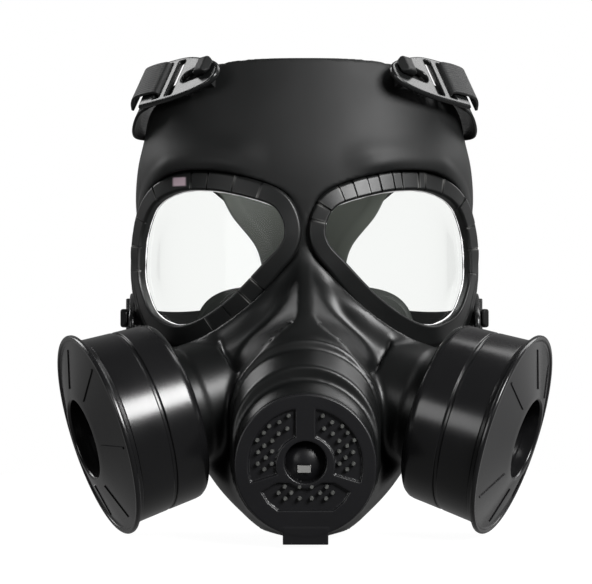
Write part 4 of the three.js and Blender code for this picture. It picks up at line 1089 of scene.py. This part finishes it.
def well_plate(sign):
    """The plate across the lower half of the intake, a little below its mouth."""
    axis, across, up = drum_axes(sign)
    turns = np.radians(np.linspace(94, 266, 40))[:, None]
    arc = DRUM_CENTRE * (sign, 1, 1) + 17.3 * (up * np.cos(turns) + across * np.sin(turns))
    return loft([arc + height * axis for height in (-0.6, 0.8, 1.0)], closed=False)


for side, sign in (("right", 1), ("left", -1)):
    parts = [turned(cover_profile, sign), cover_lines(side, sign), well_plate(sign)]
    cover = mesh_piece(f"filter_cover_{side}", parts, drum_plastic)
    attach(cover, "root")
    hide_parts(f"filter_cover_{side}")

# Buckles
# Ladder buckles of glossy moulded nylon: an eyelet over the face piece's hook at the narrow end, then two slots for
# the strap, between rounded bars.


def buckle_frame(seat, u, v):
    """A buckle's frame as origin and rows along it, across it and out of it."""
    along = np.array(u) / np.linalg.norm(u)
    out = np.cross(along, v)
    out /= np.linalg.norm(out)
    return np.array(seat) + out * 6.2, np.array([along, np.cross(out, along), out])


upper_share = 44.7 / half_width_at(74.1)
upper_depth = depth_at(74.1) * (1 - (1 - upper_share ** power_at(74.1)) ** (1 / power_at(74.1)))
BUCKLES = {
    "upper": buckle_frame((44.7, front_at(74.1) + upper_depth, 74.1), (0.753, 0.645, -0.129), (-0.3, 0.51, 0.8)),
    "lower": buckle_frame((half_width_at(-42.3), 48.8, -42.3), (0.06, 1, -0.04), (0, 0.04, 1)),
}


# The buckle's outline: along it, across it
BUCKLE_OUTLINE = [
    (-10.6, -4.0), (-9.2, 0.2), (-5.0, 3.8), (2.0, 7.2), (12.0, 11.0), (20.0, 12.4), (29.0, 12.6), (37.0, 12.4),
    (38.2, 11.2), (38.2, -14.2), (37.0, -15.2), (24.0, -15.3), (13.0, -15.0), (2.0, -13.6), (-6.0, -11.2), (-9.8, -8.0),
]
buckle_path = smooth_path(BUCKLE_OUTLINE, 5, closed=True)
grid_u, grid_v = np.meshgrid(np.arange(-16, 45, 0.5), np.arange(-22, 20, 0.5), indexing="ij")
buckle_table, _ = path_distance(grid_u, grid_v, buckle_path)
buckle_edge = table_reader((-16, -22), 0.5, buckle_table)


def buckle_form(u, v, n):
    body = smooth_cut(buckle_edge(u, v), np.abs(n) - 1.5, 1.3)
    share = np.clip((u - 1.0) / 8.6, 0, 1)
    eyelet = np.hypot(u - 1.0 - 8.6 * share, v + 1.0 + 2.0 * share) - 4.4 + 0.8 * share
    body = smooth_cut(body, -eyelet, 0.8)
    for start, end in ((16.0, 20.6), (24.6, 29.0)):
        slot = smooth_cut(np.abs(u - (start + end) / 2) - (end - start) / 2, np.abs(v + 1.4) - 11.2, 0.9)
        body = smooth_cut(body, -slot, 0.8)
    return body


def hook_form(u, v, n):
    post = np.maximum(np.abs(u - 0.9) - 2.4, np.maximum(np.abs(v + 1) - 3.4, np.maximum(-n - 10.5, n - 4)))
    head = np.maximum(np.abs(u + 1.6) - 5.0, np.abs(v + 1) - 4.6)
    head = np.maximum(head, (np.abs(u + 1.6) + np.abs(v + 1) - 7.8) * 0.7)
    head = smooth_cut(head, np.abs(n - 3.9) - 1.9, 1.4)
    head = np.maximum(head, (np.abs(u + 1.6) + n - 8.0) * 0.7)
    return smooth_join(post, head, 0.6)


buckle_skin = skin_form(buckle_form, (-12, -16.6, -2.2), (39.6, 14, 2.2), 0.5)
hook_skin = skin_form(hook_form, (-8.2, -7.2, -11.6), (5.2, 5.2, 7.2), 0.5)

nylon, tree = new_material("moulded_nylon")
place = add_node(tree, "ShaderNodeTexCoord").outputs["Object"]
cloud = add_node(tree, "ShaderNodeTexNoise", Vector=place, Scale=120.0, Detail=2.0)
tone = add_node(tree, "ShaderNodeMix", {"data_type": "RGBA"}, Factor=cloud.outputs["Fac"], A=linear("131414"), B=linear("1b1c1c"))
gloss = add_node(tree, "ShaderNodeMapRange", Value=cloud.outputs["Fac"], To_Min=0.22, To_Max=0.32)
surface = add_node(tree, "ShaderNodeBsdfPrincipled", Base_Color=tone.outputs["Result"], Roughness=gloss.outputs[0], IOR=1.55)
add_node(tree, "ShaderNodeOutputMaterial", Surface=surface.outputs[0])

for level, (origin, rows) in BUCKLES.items():
    placed = (origin + buckle_skin[0] @ rows, buckle_skin[1])
    for side in ("right", "left"):
        buckle = mesh_piece(f"{level}_buckle_{side}", [placed if side == "right" else mirrored(placed)], nylon)
        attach(buckle, "root")
        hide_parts(f"{level}_buckle_{side}")
        placed_hook = (origin + hook_skin[0] @ rows, hook_skin[1])
        hook = mesh_piece(f"{level}_hook_{side}", [placed_hook if side == "right" else mirrored(placed_hook)], vinyl)
        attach(hook, "root")

# Straps
# Woven elastic, 20 mm wide, through each buckle with its tail under the bars and round the back of the head to the
# pad. They keep the curve that a head gives them.

STRAP_WIDTH, STRAP_THICKNESS = 20.0, 1.5
IN_BUCKLE = [
    (49.5, 0.0, -4.6), (46.4, 0.0, -0.6), (42.6, 0.0, 2.2), (37.5, 0.0, 3.05), (30.9, 0.0, 3.05), (27.3, 0.0, 2.35), (26.7, 0.0, 0.0), (27.3, 0.0, -2.35),
    (30.9, -0.8, -3.05), (38.9, -3.4, -3.6), (44.0, -5.2, -5.0),
]
# Places round the head and how far the strap's width leans
ROUTES = {
    "upper": [
        (83.0, 48.0, 58.0, -0.3), (79.0, 69.3, 57.5, -0.05), (73.5, 104.0, 56.8, 0.05), (69.7, 137.8, 51.8, 0.2),
        (64.0, 164.6, 46.9, 0.42), (53.8, 169.45, 41.1, 0.52), (38.4, 169.15, 28.9, 0.6), (21.1, 168.95, 15.3, 0.62),
    ],
    "lower": [
        (80.5, 122.1, -50.0, 0.0), (55.5, 153.5, -50.0, -0.05), (33.0, 168.95, -44.5, -0.22), (22.0, 168.95, -40.0, -0.35),
        (6.0, 168.95, -33.0, -0.4),
    ],
}


def centripetal(points, steps):
    """A centripetal Catmull-Rom curve through points, and its direction."""
    points = np.asarray(points, float)
    ends = np.vstack([2 * points[0] - points[1], points, 2 * points[-1] - points[-2]])
    places, ways = [], []
    for i in range(len(points) - 1):
        a, b, c, d = ends[i:i + 4]
        dt0, dt1, dt2 = (max(np.linalg.norm(q - p), 1e-4) ** 0.5 for p, q in ((a, b), (b, c), (c, d)))
        start = ((b - a) / dt0 - (c - a) / (dt0 + dt1) + (c - b) / dt1) * dt1
        end = ((c - b) / dt1 - (d - b) / (dt1 + dt2) + (d - c) / dt2) * dt1
        for t in np.arange(steps + (i == len(points) - 2)) / steps:
            places.append(b * (2 * t**3 - 3 * t**2 + 1) + start * (t**3 - 2 * t**2 + t) + c * (3 * t**2 - 2 * t**3) + end * (t**3 - t**2))
            ways.append((6 * t**2 - 6 * t) * (b - c) + start * (3 * t**2 - 4 * t + 1) + end * (3 * t**2 - 2 * t))
    return np.array(places), np.array(ways)


strap_section = rounded([(-10, -0.75, 0.45), (-3.3, -0.75, 0), (3.3, -0.75, 0), (10, -0.75, 0.45), (10, 0.75, 0.45), (3.3, 0.75, 0), (-3.3, 0.75, 0), (-10, 0.75, 0.45)])


def strap_form(level):
    origin, rows = BUCKLES[level]
    slant = 1.0 if level == "upper" else 0.0
    middles = [origin + u * rows[0] + slant * v * rows[1] + n * rows[2] for u, v, n in IN_BUCKLE]
    middles += [place[:3] for place in ROUTES[level]]
    widths = [rows[1]] * len(IN_BUCKLE) + [np.array([place[3], 0, 1]) / math.hypot(place[3], 1) for place in ROUTES[level]]
    steps = 10
    path, ways = centripetal(middles, steps)
    across, _ = centripetal(widths, steps)
    ways /= np.linalg.norm(ways, axis=1, keepdims=True)
    across -= ways * np.sum(across * ways, axis=1, keepdims=True)
    across /= np.linalg.norm(across, axis=1, keepdims=True)
    out = np.cross(ways, across)
    rings = path[:, None] + strap_section[None, :, :1] * across[:, None] + strap_section[None, :, 1:] * out[:, None]
    lengths = np.append(0, np.cumsum(np.linalg.norm(np.diff(path, axis=0), axis=1)))
    weave = np.stack([np.broadcast_to(lengths[:, None], rings.shape[:2]), np.broadcast_to(strap_section[:, 0], rings.shape[:2])], axis=-1)
    return loft(rings, closed=False), weave.reshape(-1, 2)


# Woven elastic: lengthwise cords 1.4 mm apart with fine cross threads, dull black with a slight sheen.
webbing, tree = new_material("woven_elastic")
weave_place = add_node(tree, "ShaderNodeAttribute", {"attribute_name": "weave"}).outputs["Vector"]
parts = add_node(tree, "ShaderNodeSeparateXYZ", Vector=weave_place)
cord = add_node(tree, "ShaderNodeMath", {"operation": "MULTIPLY"}, i0=parts.outputs["Y"], i1=2 * math.pi / 1.4)
cord = add_node(tree, "ShaderNodeMath", {"operation": "SINE"}, i0=cord.outputs[0])
thread = add_node(tree, "ShaderNodeMath", {"operation": "MULTIPLY"}, i0=parts.outputs["X"], i1=2 * math.pi / 0.9)
thread = add_node(tree, "ShaderNodeMath", {"operation": "SINE"}, i0=thread.outputs[0])
woven = add_node(tree, "ShaderNodeMath", {"operation": "MULTIPLY_ADD"}, i0=thread.outputs[0], i1=0.35, i2=cord.outputs[0])
lint = add_node(tree, "ShaderNodeTexNoise", Vector=weave_place, Scale=0.9, Detail=3.0)
ridges = add_node(tree, "ShaderNodeBump", Strength=0.5, Distance=0.00008, Height=woven.outputs[0])
tone = add_node(tree, "ShaderNodeMix", {"data_type": "RGBA"}, Factor=lint.outputs["Fac"], A=linear("0f1010"), B=linear("1a1b1b"))
surface = add_node(
    tree, "ShaderNodeBsdfPrincipled", Base_Color=tone.outputs["Result"], Roughness=0.65, Normal=ridges.outputs[0],
    Sheen_Weight=0.15, Sheen_Roughness=0.4,
)
add_node(tree, "ShaderNodeOutputMaterial", Surface=surface.outputs[0])

for level in ROUTES:
    part, weave = strap_form(level)
    for side in ("right", "left"):
        strap = mesh_piece(f"{level}_strap_{side}", [part if side == "right" else mirrored(part)], webbing)
        layer = strap.data.attributes.new("weave", "FLOAT2", "POINT")
        layer.data.foreach_set("vector", weave.astype(np.float32).ravel())
        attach(strap, "root")
        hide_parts(f"{level}_strap_{side}")

# Back pad
# The moulded rubber pad behind the head that the four straps meet on, a wide V with rounded corners.

PAD_OUTLINE = [
    (0, 26.8), (25, 30.6), (42, 34), (49.6, 33.6), (50.6, 28.6), (46, 23), (40, 12), (28, -3), (24, -14), (22.6, -26),
    (22, -35), (20.2, -39), (15, -40), (0, -40),
]
pad_path = smooth_path(PAD_OUTLINE + [(-x, z) for x, z in PAD_OUTLINE[-2:0:-1]], 6, closed=True)
grid_u, grid_v = np.meshgrid(np.arange(-60, 61, 1.0), np.arange(-50, 46, 1.0), indexing="ij")
pad_table, _ = path_distance(grid_u, grid_v, pad_path)
pad_distance = table_reader((-60, -50), 1.0, pad_table)


def pad_form(x, y, z):
    edge = pad_distance(x, z)
    slab = np.abs(y - 166.3) - 1.3 + 0.5 * (1 - fade(-9, -6, edge))
    return smooth_cut(edge, slab, 1.2)


pad_skin = skin_form(pad_form, (-54, 163.6, -42.5), (54, 169, 37.5), 0.9)
# Moulded rubber, grey with dust, matt.
pad_rubber, tree = new_material("matt_rubber")
place = add_node(tree, "ShaderNodeTexCoord").outputs["Object"]
cloud = add_node(tree, "ShaderNodeTexNoise", Vector=place, Scale=30.0, Detail=4.0)
tone = add_node(tree, "ShaderNodeMix", {"data_type": "RGBA"}, Factor=cloud.outputs["Fac"], A=linear("5c605a"), B=linear("6a6e67"))
skin = add_node(tree, "ShaderNodeBump", Strength=0.2, Distance=0.0003, Height=cloud.outputs["Fac"])
surface = add_node(tree, "ShaderNodeBsdfPrincipled", Base_Color=tone.outputs["Result"], Roughness=0.7, Normal=skin.outputs[0])
add_node(tree, "ShaderNodeOutputMaterial", Surface=surface.outputs[0])
pad = mesh_piece("back_pad", [pad_skin], pad_rubber)
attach(pad, "root")
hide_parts("back_pad")
